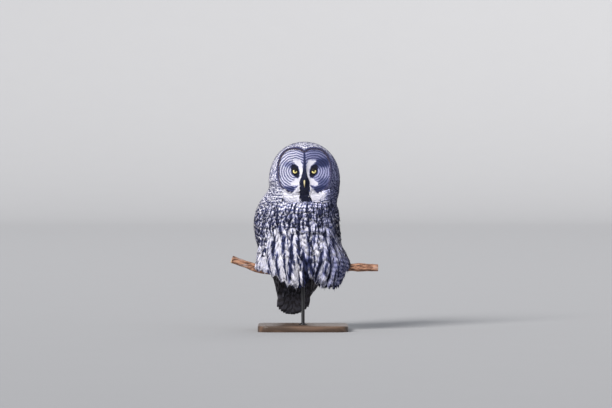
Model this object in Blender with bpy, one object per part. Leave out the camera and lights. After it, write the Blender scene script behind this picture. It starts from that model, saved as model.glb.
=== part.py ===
"""A life-size great grey owl on a cut branch, held by a plain display stand.

Metres, +Z up. The owl faces -Y and its right wing is at -X. The origin is the centre of the
underside of the stand's base. Every named body size is measured from the middle of the branch,
between the feet, in the bird's own frame, which is turned a little about Z."""

import math

import bpy
import numpy as np

# The stand and the branch
GAP = 0.0003
BASE_WIDTH = 0.240
BASE_DEPTH = 0.200
BASE_HEIGHT = 0.016
BASE_CORNER = 0.030
BASE_EDGE = 0.003
ROD_RADIUS = 0.0045
ROD_SIDES = 20
PERCH_Y = -0.012
PERCH_Z = 0.166
PERCH_RADIUS = 0.0092
PERCH_LEFT = -0.190
PERCH_RIGHT = 0.200
PERCH_SWAY = 0.0015
# Knots: place along X, height and reach
KNOTS = ((0.150, 0.0016, 0.012), (-0.128, 0.0013, 0.014))
# Along X, the height of the branch's middle over PERCH_Z: it sags under the bird
PERCH_LINE = (
    (-0.220, 0.036),
    (-0.151, 0.0106),
    (-0.103, -0.005),
    (-0.050, -0.0065),
    (0.000, -0.004),
    (0.050, 0.000),
    (0.125, 0.003),
    (0.230, 0.001),
)

# How the bird sits: its body turned to its left, its breast leaning to its right
BODY_TURN = math.radians(8)
LEAN = (
    (-0.150, 0.000),
    (0.020, 0.000),
    (0.080, -0.010),
    (0.130, -0.015),
    (0.175, -0.010),
    (0.210, 0.001),
    (0.260, 0.003),
)

# The trunk: height, half width, reach forward, reach back
TRUNK = (
    (0.040, 0.066, 0.060, 0.068),
    (0.052, 0.090, 0.086, 0.094),
    (0.072, 0.098, 0.098, 0.104),
    (0.100, 0.100, 0.103, 0.105),
    (0.130, 0.098, 0.103, 0.101),
    (0.156, 0.096, 0.101, 0.096),
    (0.183, 0.094, 0.095, 0.090),
    (0.205, 0.090, 0.084, 0.083),
    (0.232, 0.074, 0.060, 0.068),
)
TRUNK_SQUARENESS = 2.15
STRIP_RADIUS = 0.105
NECK_HEIGHT = 0.150

# The folded wings and the back: height, half width, middle, reach back
MANTLE = (
    (-0.110, 0.040, 0.212, 0.238),
    (-0.080, 0.052, 0.165, 0.222),
    (-0.040, 0.068, 0.097, 0.195),
    (0.000, 0.090, 0.040, 0.165),
    (0.040, 0.106, 0.005, 0.141),
    (0.080, 0.112, 0.000, 0.127),
    (0.120, 0.112, 0.000, 0.118),
    (0.156, 0.106, 0.000, 0.106),
    (0.190, 0.096, 0.000, 0.093),
)

# The hanging plumage of belly and flanks: height, half width, reach forward
APRON = (
    (-0.055, 0.106, 0.072),
    (-0.020, 0.120, 0.087),
    (0.010, 0.127, 0.099),
    (0.035, 0.121, 0.107),
    (0.065, 0.110, 0.109),
    (0.100, 0.102, 0.106),
    (0.130, 0.097, 0.103),
)

# The head, in its own frame
HEAD_X = 0.0040
HEAD_Y = -0.012
HEAD_Z = 0.235
HEAD_HALF_WIDTH = 0.092
HEAD_UP = 0.100
HEAD_DOWN = 0.075
HEAD_FRONT = 0.070
HEAD_BACK = 0.080
HEAD_ROUND = 2.1
FACE_ROUND = 3.0
BACK_ROUND = 2.2
FACE_Z = 0.024
EYE_SPACING = 0.0496
EYE_RADIUS = 0.0105
EYE_OPENING = 0.0066
LID_ROLL = 0.0017
LID_THICKNESS = 0.0016
LID_TILT = math.radians(22)
DISH_RADIUS = 0.046
DISH_DEPTH = 0.011
DISC_MIDDLE = 0.026
DISC_HALF_WIDTH = 0.0435
DISC_HALF_HEIGHT = 0.059
DISC_ROUND = 2.4
RIM_HEIGHT = 0.0045
RIDGE_HEIGHT = 0.007
RIDGE_WIDTH = 0.011

# The tail
TAIL_ROOT = (0.0, 0.060, 0.110)
TAIL_TIP = (0.0, 0.225, -0.139)
TAIL_FLARE = 0.024
TAIL_FEATHERS = 12
RUMP_MIDDLE = 0.30
RUMP_REACH = 0.080
RUMP_HALF_WIDTH = 0.036
RUMP_HALF_HEIGHT = 0.015
RUMP_SINK = 0.006

# Legs and feet
LEG_SPACING = 0.058
LEG_TOP = 0.066
ANKLE = 0.0250
LEG_RADIUS = 0.0165
FOOT_RADII = (0.0115, 0.0125, 0.0085)
TOE_RADIUS = 0.0058
TOE_RADII = TOE_RADIUS * np.array([0.95, 1.05, 0.98, 1.0, 0.96, 0.72])
TOE_REACH = PERCH_RADIUS + TOE_RADIUS + 0.0012
CLAW_RADIUS = 0.0026
CLAW_TURN = 62

# The bill, from the point between the eyes
BILL_TOP = -0.014
BILL_TIP = -0.0405
BILL_HALF_WIDTH = 0.0062
BILL_REACH = 0.021
BILL_HOOK = math.radians(112)

# How far the pads of plumage start inside the trunk before they are cut back from it
PAD_ROOT = 0.004

# Leading and rear edges of the folded wing's coverts: height and turn in degrees
WING_TOP = 0.168
WING_BOTTOM = 0.036
WING_LEAD = ((0.030, 96), (0.045, 84), (0.060, 75), (0.100, 68), (0.168, 62))
WING_REAR = ((0.030, 166), (0.100, 163), (0.168, 158))

# The same edges for the body of its flight feathers, which ends short of their tips
BLADE_TOP = 0.060
BLADE_BOTTOM = -0.074
BLADE_LEAD = ((-0.110, 126), (-0.080, 118), (-0.040, 104), (0.030, 100), (0.060, 88))
BLADE_REAR = ((-0.110, 152), (-0.060, 160), (-0.010, 168), (0.030, 172), (0.060, 167))

# Flight feathers of a folded wing: height and turn of root and tip in degrees, and width
PRIMARIES = (
    (0.018, 103, -0.060, 110, 0.018),
    (0.016, 108, -0.092, 121, 0.018),
    (0.014, 115, -0.110, 131, 0.018),
    (0.014, 122, -0.106, 140, 0.018),
    (0.016, 129, -0.096, 148, 0.018),
)
SECONDARIES = (
    (0.060, 138, -0.080, 154, 0.022),
    (0.062, 146, -0.058, 160, 0.022),
    (0.064, 154, -0.034, 166, 0.022),
    (0.066, 161, -0.010, 171, 0.022),
)
COVERTS = (
    (0.060, 97, 0.006, 102, 0.028),
    (0.062, 111, 0.002, 116, 0.030),
    (0.064, 126, 0.002, 132, 0.030),
    (0.070, 141, 0.012, 148, 0.030),
    (0.098, 86, 0.044, 92, 0.028),
    (0.100, 103, 0.040, 110, 0.030),
    (0.102, 121, 0.040, 128, 0.030),
)

# The tiers of a wing: its feathers, their lift off the mantle and a step between neighbours
WING_TIERS = (
    (PRIMARIES, -0.0018, 0.0),
    (SECONDARIES, -0.0012, 0.00025),
    (COVERTS, 0.0006, 0.0003),
)

# Feathers of the back between the wings: height and turn of the root
BACK_TOP = 0.168
BACK_BOTTOM = 0.064
BACK_HALF_TURN = ((0.050, 12), (0.100, 16), (0.168, 21))
BACK_FEATHERS = ((0.146, 171), (0.146, 189), (0.124, 180), (0.104, 170), (0.104, 190))

# The pad under the hanging locks: its share of their fall, how far they stand proud of it,
# its thickness at its lower edge and at its top
APRON_SHARE = 0.74
APRON_SINK = 0.002
APRON_EDGE = 0.003
APRON_DEPTH = 0.026

# The line of the lowest feather tips round the belly: turn in degrees and height
TIPS = (
    (-112, 0.020),
    (-96, 0.012),
    (-78, -0.004),
    (-60, -0.012),
    (-45, -0.028),
    (-30, -0.046),
    (-15, -0.048),
    (0, -0.032),
    (12, -0.034),
    (28, -0.046),
    (60, -0.050),
    (72, -0.036),
    (84, 0.004),
    (98, 0.016),
    (112, 0.024),
)

# Tiers of hanging locks: height of the roots, length or None down to the tips, and count
BELLY_TIERS = ((0.104, 0.056, 6), (0.068, 0.060, 7), (0.034, None, 8))
RIGHT_FLANK_TIERS = ((0.070, 0.052, 2), (0.034, None, 3))
LEFT_FLANK_TIERS = ((0.070, 0.054, 2), (0.036, None, 3))

# The hanging pieces: name, turns of their seams, height of the top, columns, tiers, wings they touch
PLUMAGE = (
    ("belly_plumage", -48, 48, 0.118, 11, BELLY_TIERS, ()),
    ("flank_right", -81, -48.4, 0.080, 6, RIGHT_FLANK_TIERS, (-1,)),
    ("flank_left", 48.4, 73, 0.080, 5, LEFT_FLANK_TIERS, (1,)),
)
LOCK_OVERLAP = 1.28

# Stations along a lock and along a vane, as shares of the length
LOCK_STEPS = np.array([0.0, 0.34, 0.74, 1.0])
VANE_STEPS = np.array([0.0, 0.4, 0.85, 1.0])

# Each toe: its spread along the branch at the root and at the tip, where it starts and where it ends
TOES = (
    ("front_inner", -0.004, -0.013, 78, -22),
    ("front_outer", 0.005, 0.011, 78, -26),
    ("rear_inner", -0.004, -0.010, 102, 196),
    ("rear_outer", 0.005, 0.014, 102, 200),
)

# Facets round and along the main forms
TRUNK_SIDES = 32
TORSO_HEIGHTS = np.linspace(TRUNK[0][0], NECK_HEIGHT, 9)
NECK_HEIGHTS = np.linspace(NECK_HEIGHT, TRUNK[-1][0], 4)
HEAD_SIDES = 36
HEAD_TURNS = np.radians([7, 14, 21, 28, 35, 42, 49, 56, 63, 70, 77, 84, 92, 104, 120, 140, 162])

# Colours
SLATE = (0.20, 0.20, 0.28)
PALE = (0.62, 0.61, 0.70)
DARK = (0.045, 0.045, 0.075)
HORN = (0.72, 0.60, 0.25)
IRIS = (0.75, 0.62, 0.20)
BARK = (0.25, 0.13, 0.09)
STAND_WOOD = (0.06, 0.04, 0.03)
STAND_METAL = (0.08, 0.08, 0.085)


def spline(rows, at):
    """Catmull-Rom through rows whose first column is the position. Returns one value a column."""
    table = np.array(rows, float)
    x, y = table[:, 0], table[:, 1:]
    slope = np.gradient(y, x, axis=0)
    at = np.clip(np.asarray(at, float), x[0], x[-1])
    i = np.clip(np.searchsorted(x, at, side="right") - 1, 0, len(x) - 2)
    h = x[i + 1] - x[i]
    t = ((at - x[i]) / h)[..., None]
    h = h[..., None]
    value = (
        (2 * t**3 - 3 * t**2 + 1) * y[i]
        + (t**3 - 2 * t**2 + t) * h * slope[i]
        + (3 * t**2 - 2 * t**3) * y[i + 1]
        + (t**3 - t**2) * h * slope[i + 1]
    )
    return np.moveaxis(value, -1, 0)


def power(value, exponent):
    """A signed power, which bends a circle into a rounder or squarer section."""
    return np.sign(value) * np.abs(value) ** exponent


def place(x, y, z):
    """World points of points in the bird's own frame."""
    x, y, z = np.broadcast_arrays(x, y, z)
    (lean,) = spline(LEAN, z)
    c, s = math.cos(BODY_TURN), math.sin(BODY_TURN)
    return np.stack([x * c - y * s + lean, x * s + y * c + PERCH_Y, z + PERCH_Z], -1)


def trunk(z, turn, grow=0.0):
    """The trunk's surface. turn is 0 in front, +90 degrees at the bird's left side."""
    half_width, front, back = spline(TRUNK, z)
    bend = 2 / TRUNK_SQUARENESS
    x = (half_width + grow) * power(np.sin(turn), bend)
    c = power(np.cos(turn), bend)
    return place(x, -np.where(c > 0, front + grow, back + grow) * c, z)


def mantle(z, turn, grow=0.0):
    """The outer surface of back and folded wings, out to the wing tips."""
    half_width, middle, back = spline(MANTLE, z)
    x = (half_width + grow) * np.sin(turn)
    y = middle - (back - middle + grow) * np.cos(turn)
    return place(x, y, z)


def apron(z, turn, grow=0.0):
    """The outer surface of the hanging belly and flank feathers."""
    half_width, front = spline(APRON, z)
    return place((half_width + grow) * np.sin(turn), -(front + grow) * np.cos(turn), z)


def link(name, points, triangles, colour, roughness=0.8, metallic=0.0):
    """One mesh object of its own material, facing outwards."""
    points = np.asarray(points, float)
    triangles = np.asarray(triangles, int)
    corners = points[triangles]
    if np.linalg.det(corners - points.mean(0)).sum() < 0:
        triangles = triangles[:, ::-1]
    mesh = bpy.data.meshes.new(name)
    mesh.from_pydata(points.tolist(), [], triangles.tolist())
    mesh.shade_smooth()
    mesh.set_sharp_from_angle(angle=math.radians(40))
    material = bpy.data.materials.new(name)
    material.use_nodes = True
    shader = material.node_tree.nodes["Principled BSDF"]
    shader.inputs["Base Color"].default_value = (*colour, 1.0)
    shader.inputs["Roughness"].default_value = roughness
    shader.inputs["Metallic"].default_value = metallic
    mesh.materials.append(material)
    solid = bpy.data.objects.new(name, mesh)
    bpy.context.scene.collection.objects.link(solid)
    return solid


def ringed(rings):
    """Points and triangles of a closed body from rings of points, its two ends closed by fans."""
    rings = np.asarray(rings, float)
    n, m = rings.shape[:2]
    first, last = n * m, n * m + 1
    points = np.vstack([rings.reshape(-1, 3), rings[0].mean(0), rings[-1].mean(0)])
    i, j = np.meshgrid(np.arange(n - 1), np.arange(m), indexing="ij")
    a, b = (i * m + j).ravel(), (i * m + (j + 1) % m).ravel()
    c, d = b + m, a + m
    k = np.arange(m)
    fan = np.stack([np.full(m, first), (k + 1) % m, k], 1)
    end = np.stack([np.full(m, last), (n - 1) * m + k, (n - 1) * m + (k + 1) % m], 1)
    return points, np.vstack([np.stack([a, b, c], 1), np.stack([a, c, d], 1), fan, end])


def tube(path, radii, sides, squash=1.0, up=(0.0, 0.0, 1.0)):
    """A closed round body along a path, its sections square to the path."""
    path = np.asarray(path, float)
    along = np.gradient(path, axis=0, edge_order=min(2, len(path) - 1))
    along /= np.linalg.norm(along, axis=1)[:, None]
    side = np.cross(along, np.asarray(up, float))
    side /= np.linalg.norm(side, axis=1)[:, None]
    over = np.cross(side, along)
    turn = np.arange(sides) * 2 * math.pi / sides
    radii = np.asarray(radii, float)[:, None, None]
    rings = path[:, None] + radii * (
        np.cos(turn)[None, :, None] * side[:, None]
        + squash * np.sin(turn)[None, :, None] * over[:, None]
    )
    return ringed(rings)


def patch(outer, inner):
    """A closed body between two grids of points that lie over one another."""
    n, m = outer.shape[:2]
    points = np.vstack([outer.reshape(-1, 3), inner.reshape(-1, 3)])
    i, j = np.meshgrid(np.arange(n - 1), np.arange(m - 1), indexing="ij")
    a = (i * m + j).ravel()
    b, c, d = a + 1, a + m + 1, a + m
    top = np.vstack([np.stack([a, b, c], 1), np.stack([a, c, d], 1)])
    rim = np.concatenate(
        [
            np.arange(m),
            np.arange(1, n) * m + m - 1,
            (n - 1) * m + np.arange(m - 2, -1, -1),
            np.arange(n - 2, 0, -1) * m,
        ]
    )
    following = np.roll(rim, -1)
    low = n * m
    wall = np.vstack(
        [np.stack([following, rim, rim + low], 1), np.stack([following, rim + low, following + low], 1)]
    )
    return points, np.vstack([top, top[:, ::-1] + low, wall])


def profile(shares, values, steps):
    """Values at a feather's stations, read from a short list of shares of its length."""
    return np.interp(steps, shares, values)


def strip(surface, line, widths, lifts, thickness, limits=(-4.0, 4.0)):
    """One feather or lock lying on a surface. line holds its height and turn station by station."""
    z, turn = line[:, 0][:, None], line[:, 1][:, None]
    side = np.array([[-1, 1]])
    spread = np.clip(turn + side * widths[:, None] / (2 * STRIP_RADIUS), *limits)
    z = np.broadcast_to(z, spread.shape)
    lift = lifts[:, None]
    return patch(surface(z, spread, lift), surface(z, spread, lift - thickness[:, None]))


def bent_line(start, end, bend, steps):
    """Heights and turns from a root to a tip, swung sideways by bend on the way."""
    start, end = np.array(start), np.array(end)
    line = start + (end - start) * steps[:, None]
    line[:, 1] += bend * steps**2
    return line


def operate(solid, others, operation, solver="EXACT"):
    """Applies one Boolean of a collection of closed mesh objects, which are then removed."""
    group = bpy.data.collections.new("operands")
    for other in others:
        group.objects.link(other)
    modifier = solid.modifiers.new(operation, "BOOLEAN")
    modifier.operation = operation
    modifier.operand_type = "COLLECTION"
    modifier.collection = group
    modifier.solver = solver
    graph = bpy.context.evaluated_depsgraph_get()
    made = bpy.data.meshes.new_from_object(solid.evaluated_get(graph))
    solid.modifiers.clear()
    solid.data = made
    for other in others:
        bpy.data.objects.remove(other)
    bpy.data.collections.remove(group)
    return keep_largest(solid)


def keep_largest(solid):
    """Drops every closed surface of the mesh but the largest."""
    mesh = solid.data
    mesh.calc_loop_triangles()
    points = np.array([v.co for v in mesh.vertices], float).reshape(-1, 3)
    faces = [tuple(p.vertices) for p in mesh.polygons]
    parent = np.arange(len(points))

    def root(v):
        while parent[v] != v:
            parent[v] = parent[parent[v]]
            v = parent[v]
        return v

    for face in faces:
        for v in face[1:]:
            parent[root(v)] = root(face[0])
    volumes = {}
    for triangle in mesh.loop_triangles:
        key = root(triangle.vertices[0])
        volumes[key] = volumes.get(key, 0.0) + np.linalg.det(points[list(triangle.vertices)])
    if len(volumes) > 1:
        best = max(volumes, key=lambda key: abs(volumes[key]))
        kept = [face for face in faces if root(face[0]) == best]
        used = sorted({v for face in kept for v in face})
        new_index = {v: k for k, v in enumerate(used)}
        trimmed = bpy.data.meshes.new(mesh.name)
        trimmed.from_pydata(
            points[used].tolist(), [], [[new_index[v] for v in face] for face in kept]
        )
        for material in mesh.materials:
            trimmed.materials.append(material)
        trimmed.shade_smooth()
        trimmed.set_sharp_from_angle(angle=math.radians(40))
        solid.data = trimmed
    return solid


def helper(shape):
    """A closed mesh object that a Boolean uses up."""
    return link("helper", *shape, (0.5, 0.5, 0.5))


def cut(solid, *shapes):
    for shape in shapes:
        operate(solid, [helper(shape)], "DIFFERENCE")
    return solid


# The trunk and the neck



def trunk_rings(heights, grow=0.0):
    turn = np.arange(TRUNK_SIDES) * 2 * math.pi / TRUNK_SIDES
    return [trunk(np.full(TRUNK_SIDES, z), turn, grow) for z in heights]




def trunk_cutter():
    """The whole trunk and neck, larger by the gap all round."""
    rings = trunk_rings(np.concatenate([TORSO_HEIGHTS, NECK_HEIGHTS[1:]]), GAP * 1.6)
    rings[0][:, 2] -= GAP
    rings[-1][:, 2] += GAP
    return ringed(rings)


def make_torso():
    rings = trunk_rings(TORSO_HEIGHTS)
    rings[-1][:, 2] -= GAP / 2
    return link("torso", *ringed(rings), PALE)


def make_neck():
    rings = trunk_rings(NECK_HEIGHTS)
    rings[0][:, 2] += GAP / 2
    neck = link("neck", *ringed(rings), PALE)
    return cut(neck, head_shape(GAP * 1.6))


# The head


def disc_edge(x, z):
    """0 at the middle of a facial disc and 1 on its rim. x and z are from the point between the eyes."""
    across = np.abs(np.abs(x) - DISC_MIDDLE) / DISC_HALF_WIDTH
    across = np.where(np.abs(x) < DISC_MIDDLE, across * 0.8, across)
    up = np.abs(z - 0.002) / DISC_HALF_HEIGHT
    return (across**DISC_ROUND + up**DISC_ROUND) ** (1 / DISC_ROUND)


def face_relief(x, z):
    """How far the face stands forward of the plain head: dishes, rim and the ridge down to the bill."""
    z = z - FACE_Z
    edge = disc_edge(x, z)
    eye = np.hypot(np.abs(x) - EYE_SPACING / 2, z)
    dish = -DISH_DEPTH * np.clip(1 - (eye / DISH_RADIUS) ** 2, 0, 1) ** 1.2
    rim = RIM_HEIGHT * np.exp(-(((edge - 1.03) / 0.075) ** 2))
    fade = np.clip((0.060 - z) / 0.02, 0, 1) * np.clip((z + 0.085) / 0.03, 0, 1)
    ridge = RIDGE_HEIGHT * np.exp(-((x / RIDGE_WIDTH) ** 2)) * fade
    return dish + rim + ridge


def head_surface(turn, around, grow=0.0):
    """turn runs from 0, mid face, past 90 degrees, the outline seen from in front, to 180, the nape."""
    s = np.sin(turn)
    bend = 2 / HEAD_ROUND
    x = (HEAD_HALF_WIDTH + grow) * s * power(np.cos(around), bend)
    up = power(np.sin(around), bend)
    z = np.where(up > 0, HEAD_UP + grow, HEAD_DOWN + grow) * s * up
    filled = np.clip(1 - s**HEAD_ROUND, 0, 1)
    front = -(HEAD_FRONT + grow) * filled ** (1 / FACE_ROUND)
    back = (HEAD_BACK + grow) * filled ** (1 / BACK_ROUND)
    forward = np.clip(np.cos(turn) * 3, 0, 1)
    y = np.where(np.cos(turn) > 0, front, back) - forward * face_relief(x, z)
    return np.stack([x + HEAD_X, y + HEAD_Y, z + HEAD_Z + PERCH_Z], -1)




def head_shape(grow=0.0):
    around = np.arange(HEAD_SIDES) * 2 * math.pi / HEAD_SIDES
    return ringed([head_surface(np.full(HEAD_SIDES, t), around, grow) for t in HEAD_TURNS])


def face_point(x, z):
    """The point of the face's surface at x and z from the point between the eyes."""
    z = z + FACE_Z
    up = np.where(z > 0, HEAD_UP, HEAD_DOWN)
    filled = 1 - np.abs(x / HEAD_HALF_WIDTH) ** HEAD_ROUND - np.abs(z / up) ** HEAD_ROUND
    y = -HEAD_FRONT * np.clip(filled, 0, 1) ** (1 / FACE_ROUND) - face_relief(x, z)
    return np.stack([x + HEAD_X, y + HEAD_Y, z + HEAD_Z + PERCH_Z], -1)


def eye_centre(side):
    """The eyeball's middle, set back so that its opening in the face has the size of EYE_OPENING."""
    surface = face_point(np.array(side * EYE_SPACING / 2), np.array(0.0))
    return surface + np.array([0.0, math.sqrt(EYE_RADIUS**2 - EYE_OPENING**2), 0.0])


def ball(centre, radius, rings=8, sides=14):
    """A ball whose poles lie on Y."""
    turn = np.linspace(0, math.pi, rings + 2)[1:-1]
    around = np.arange(sides) * 2 * math.pi / sides
    made = [
        np.stack(
            [
                radius * math.sin(t) * np.cos(around),
                np.full(sides, -radius * math.cos(t)),
                radius * math.sin(t) * np.sin(around),
            ],
            -1,
        )
        + centre
        for t in turn
    ]
    points, triangles = ringed(made)
    points[-2] = centre - np.array([0, radius, 0])
    points[-1] = centre + np.array([0, radius, 0])
    return points, triangles


def lid_ring(side):
    """The swollen edge of the lids, a ring just proud of the feathers round the eye."""
    centre = eye_centre(side)
    steps, sides = 16, 6
    around = (np.arange(steps) * 2 * math.pi / steps)[:, None, None]
    section = (np.arange(sides) * 2 * math.pi / sides)[None, :, None]
    out = np.cos(around) * np.array([1, 0, 0]) + np.sin(around) * np.array([0, 0, 1])
    back = np.array([0, 1, 0])
    reach = EYE_OPENING + 0.0012
    forward = math.sqrt(EYE_RADIUS**2 - EYE_OPENING**2) + 0.0002
    points = centre + out * (reach + LID_ROLL * np.cos(section))
    points = points + back * (LID_ROLL * np.sin(section) - forward)
    i, j = np.meshgrid(np.arange(steps), np.arange(sides), indexing="ij")
    a, b = i * sides + j, i * sides + (j + 1) % sides
    d, c = ((i + 1) % steps) * sides + j, ((i + 1) % steps) * sides + (j + 1) % sides
    faces = np.vstack([np.stack([a, b, c], -1).reshape(-1, 3), np.stack([a, c, d], -1).reshape(-1, 3)])
    return points.reshape(-1, 3), faces


def upper_lid(side):
    """A thick cap of a ball that comes down over the top of the eye."""
    radius = EYE_RADIUS + LID_THICKNESS
    sides = 14
    around = np.arange(sides) * 2 * math.pi / sides
    c, s = math.cos(LID_TILT), math.sin(LID_TILT)
    rings = []
    for rise in np.radians([28, 45, 63, 80]):
        x = radius * math.cos(rise) * np.cos(around)
        y = radius * math.cos(rise) * np.sin(around)
        z = np.full(sides, radius * math.sin(rise))
        rings.append(np.stack([x, y * c - z * s, y * s + z * c], -1) + eye_centre(side))
    return ringed(rings)


def make_head():
    head = link("head", *head_shape(), PALE)
    lids = [helper(lid(side)) for lid in (lid_ring, upper_lid) for side in (-1, 1)]
    operate(head, lids, "UNION", "MANIFOLD")
    sockets = [ball(eye_centre(side), EYE_RADIUS + GAP) for side in (-1, 1)]
    return cut(head, *sockets)


def make_eyes():
    for side, name in ((-1, "eye_right"), (1, "eye_left")):
        link(name, *ball(eye_centre(side), EYE_RADIUS), IRIS, 0.15)


# The bill



def bill_line(steps):
    """The middle of the upper bill, forward from the face and hooked down to its tip."""
    root = face_point(np.array(0.0), np.array(BILL_TOP - 0.008))
    t = np.linspace(0, 1, steps)
    y = root[1] + 0.010 - BILL_REACH * np.sin(t * BILL_HOOK)
    z = root[2] + 0.003 - (BILL_TOP - BILL_TIP - 0.003) * t**1.9
    return np.stack([np.full(steps, HEAD_X), y, z], -1)


def make_bill():
    """The hooked upper half with its nostrils, and the lower half under it; between them is the mouth."""
    steps, low_steps = 10, 7
    t = np.linspace(0, 1, steps)
    flat = (1.0, 0.0, 0.0)
    radii = BILL_HALF_WIDTH * np.clip(1 - t**2.2, 0, 1) ** 0.75 + 0.0005
    line = bill_line(steps)
    low_t = t[:low_steps]
    drop = np.stack([0 * low_t, 0 * low_t + 0.0035, -0.0058 - 0.002 * low_t], -1)
    low_radii = radii[:low_steps] * 0.72 * (1 - 0.5 * low_t)
    upper = link("bill_upper", *tube(line, radii, 10, 1.25, flat), HORN, 0.4)
    lower = link("bill_lower", *tube(line[:low_steps] + drop, low_radii, 8, 0.8, flat), HORN, 0.45)
    nostrils = []
    for side in (-1, 1):
        spot = line[4] + np.array([side * radii[4] * 1.2, 0.0004, 0.0018])
        nostrils.append(ball(spot, 0.0011, 3, 6))
    cut(upper, head_shape(GAP * 1.6), *nostrils)
    cut(lower, tube(line, radii + GAP * 1.6, 10, 1.25, flat), head_shape(GAP * 1.6))


# The folded wings


def edged_grid(top, bottom, lead, rear, rows, columns):
    """Heights and turns between a leading and a rear edge."""
    z = np.linspace(top, bottom, rows)
    front, back = spline(lead, z)[0][:, None], spline(rear, z)[0][:, None]
    turn = np.radians(front + (back - front) * np.linspace(0, 1, columns))
    return np.broadcast_to(z[:, None], turn.shape), turn


def wing_pad(side, grow=0.0):
    """The coverts of one folded wing as a pad over the trunk."""
    z, turn = edged_grid(WING_TOP, WING_BOTTOM, WING_LEAD, WING_REAR, 8, 8)
    across, along = np.linspace(0, 1, 8)[None, :], np.linspace(0, 1, 8)[:, None]
    swell = np.sin(math.pi * np.clip(across, 0.02, 0.98)) ** 0.35
    swell = np.clip(swell * np.clip(along / 0.12, 0, 1) ** 0.5, 0.12, 1)
    body = trunk(z, side * turn)
    outer = body + (mantle(z, side * turn) - body) * swell[..., None]
    inner = trunk(z, side * turn, -PAD_ROOT)
    if grow:
        middle = outer.mean((0, 1))
        away = outer - inner
        away /= np.linalg.norm(away, axis=-1)[..., None]
        outward = outer - middle
        outward /= np.linalg.norm(outward, axis=-1)[..., None]
        edge = (across < 0.01) | (across > 0.99) | (along < 0.01) | (along > 0.99)
        spread = np.where(edge[..., None], outward * grow * 1.5, 0)
        outer = outer + away * grow + spread
        inner = inner + spread
    return patch(outer, inner)


def wing_blade(side):
    """The body of the flight feathers of one folded wing, short of their tips."""
    z, turn = edged_grid(BLADE_TOP, BLADE_BOTTOM, BLADE_LEAD, BLADE_REAR, 6, 5)
    return patch(mantle(z, side * turn, -0.0024), mantle(z, side * turn, -0.0066))


def vane(dice, side, row, lift):
    """One flight feather or covert of a folded wing, sunk at its root."""
    top, turn, low, tip_turn, width = row
    widths = width * profile((0, 0.4, 0.85, 1), (0.7, 1, 0.92, 0.4), VANE_STEPS)
    lifts = lift + profile((0, 0.35, 1), (-0.003, 0, 0.0003), VANE_STEPS) + dice.uniform(-1e-4, 1e-4)
    thick = profile((0, 0.7, 1), (0.0030, 0.0026, 0.0014), VANE_STEPS)
    root, tip = (top, math.radians(turn)), (low, math.radians(tip_turn))
    line = bent_line(root, tip, math.radians(dice.uniform(-1, 1)), VANE_STEPS)
    line[:, 1] *= side
    return helper(strip(mantle, line, widths, lifts, thick))


def make_wings():
    dice = np.random.default_rng(5)
    for side, name in ((-1, "wing_right"), (1, "wing_left")):
        wing = link(name, *wing_pad(side), SLATE)
        made = [helper(wing_blade(side))]
        for group, low, step in WING_TIERS:
            for k, row in enumerate(group):
                made.append(vane(dice, side, row, low + step * (k % 3) + 0.0006 * (k % 2)))
        operate(wing, made, "UNION", "MANIFOLD")
        cut(wing, trunk_cutter(), tail_block(GAP * 1.6))


def make_back():
    """The feathers between the wings, from the neck down to the rump."""
    rows = 6
    z = np.linspace(BACK_TOP, BACK_BOTTOM, rows)[:, None]
    half = spline(BACK_HALF_TURN, z[:, 0])[0][:, None]
    turn = np.radians(180 + half * np.linspace(-1, 1, rows))
    z = np.broadcast_to(z, turn.shape)
    swell = np.clip(np.linspace(0, 1, rows) / 0.15, 0.3, 1)[:, None, None]
    body = trunk(z, turn)
    outer = body + (mantle(z, turn) - body) * swell
    back = link("back_plumage", *patch(outer, trunk(z, turn, -PAD_ROOT)), SLATE)
    dice = np.random.default_rng(3)
    made = []
    for k, (top, at) in enumerate(BACK_FEATHERS):
        made.append(vane(dice, 1, (top, at, top - 0.040, at, 0.024), 0.0006 + 0.0004 * (k % 3)))
    operate(back, made, "UNION", "MANIFOLD")
    cut(back, trunk_cutter(), tail_block(GAP * 1.6))
    cut(back, *(wing_pad(side, GAP * 1.6) for side in (-1, 1)))


# The hanging plumage of belly and flanks



def plumage(low, high, top, columns):
    """The pad under the locks between two turns in degrees, from the height top down."""
    turn = np.linspace(low, high, columns)[None, :]
    tips = spline(TIPS, turn[0])[0][None, :]
    share = np.linspace(0, 1, 7)[:, None]
    z = top + (tips - top) * APRON_SHARE * share
    turn = np.broadcast_to(np.radians(turn), z.shape)
    deep = APRON_EDGE + (APRON_DEPTH - 0.012 * share) * (1 - share**2)
    return patch(apron(z, turn, -APRON_SINK), apron(z, turn, APRON_SINK - deep))




def lock(dice, start, end, width, lift, limits):
    """One hanging lock: narrow at its sunk root, widest near a third of its length, pointed."""
    widths = width * dice.uniform(0.9, 1.1) * profile((0, 0.3, 0.62, 1), (0.62, 1, 0.8, 0.16), LOCK_STEPS)
    lifts = lift + profile((0, 0.3, 1), (-0.0035, 0.0004, 0.0012), LOCK_STEPS)
    thick = profile((0, 0.6, 1), (0.0048, 0.0040, 0.0010), LOCK_STEPS)
    line = bent_line(start, end, math.radians(dice.uniform(-3.5, 3.5)), LOCK_STEPS)
    return helper(strip(apron, line, widths, lifts, thick, limits))


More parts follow.
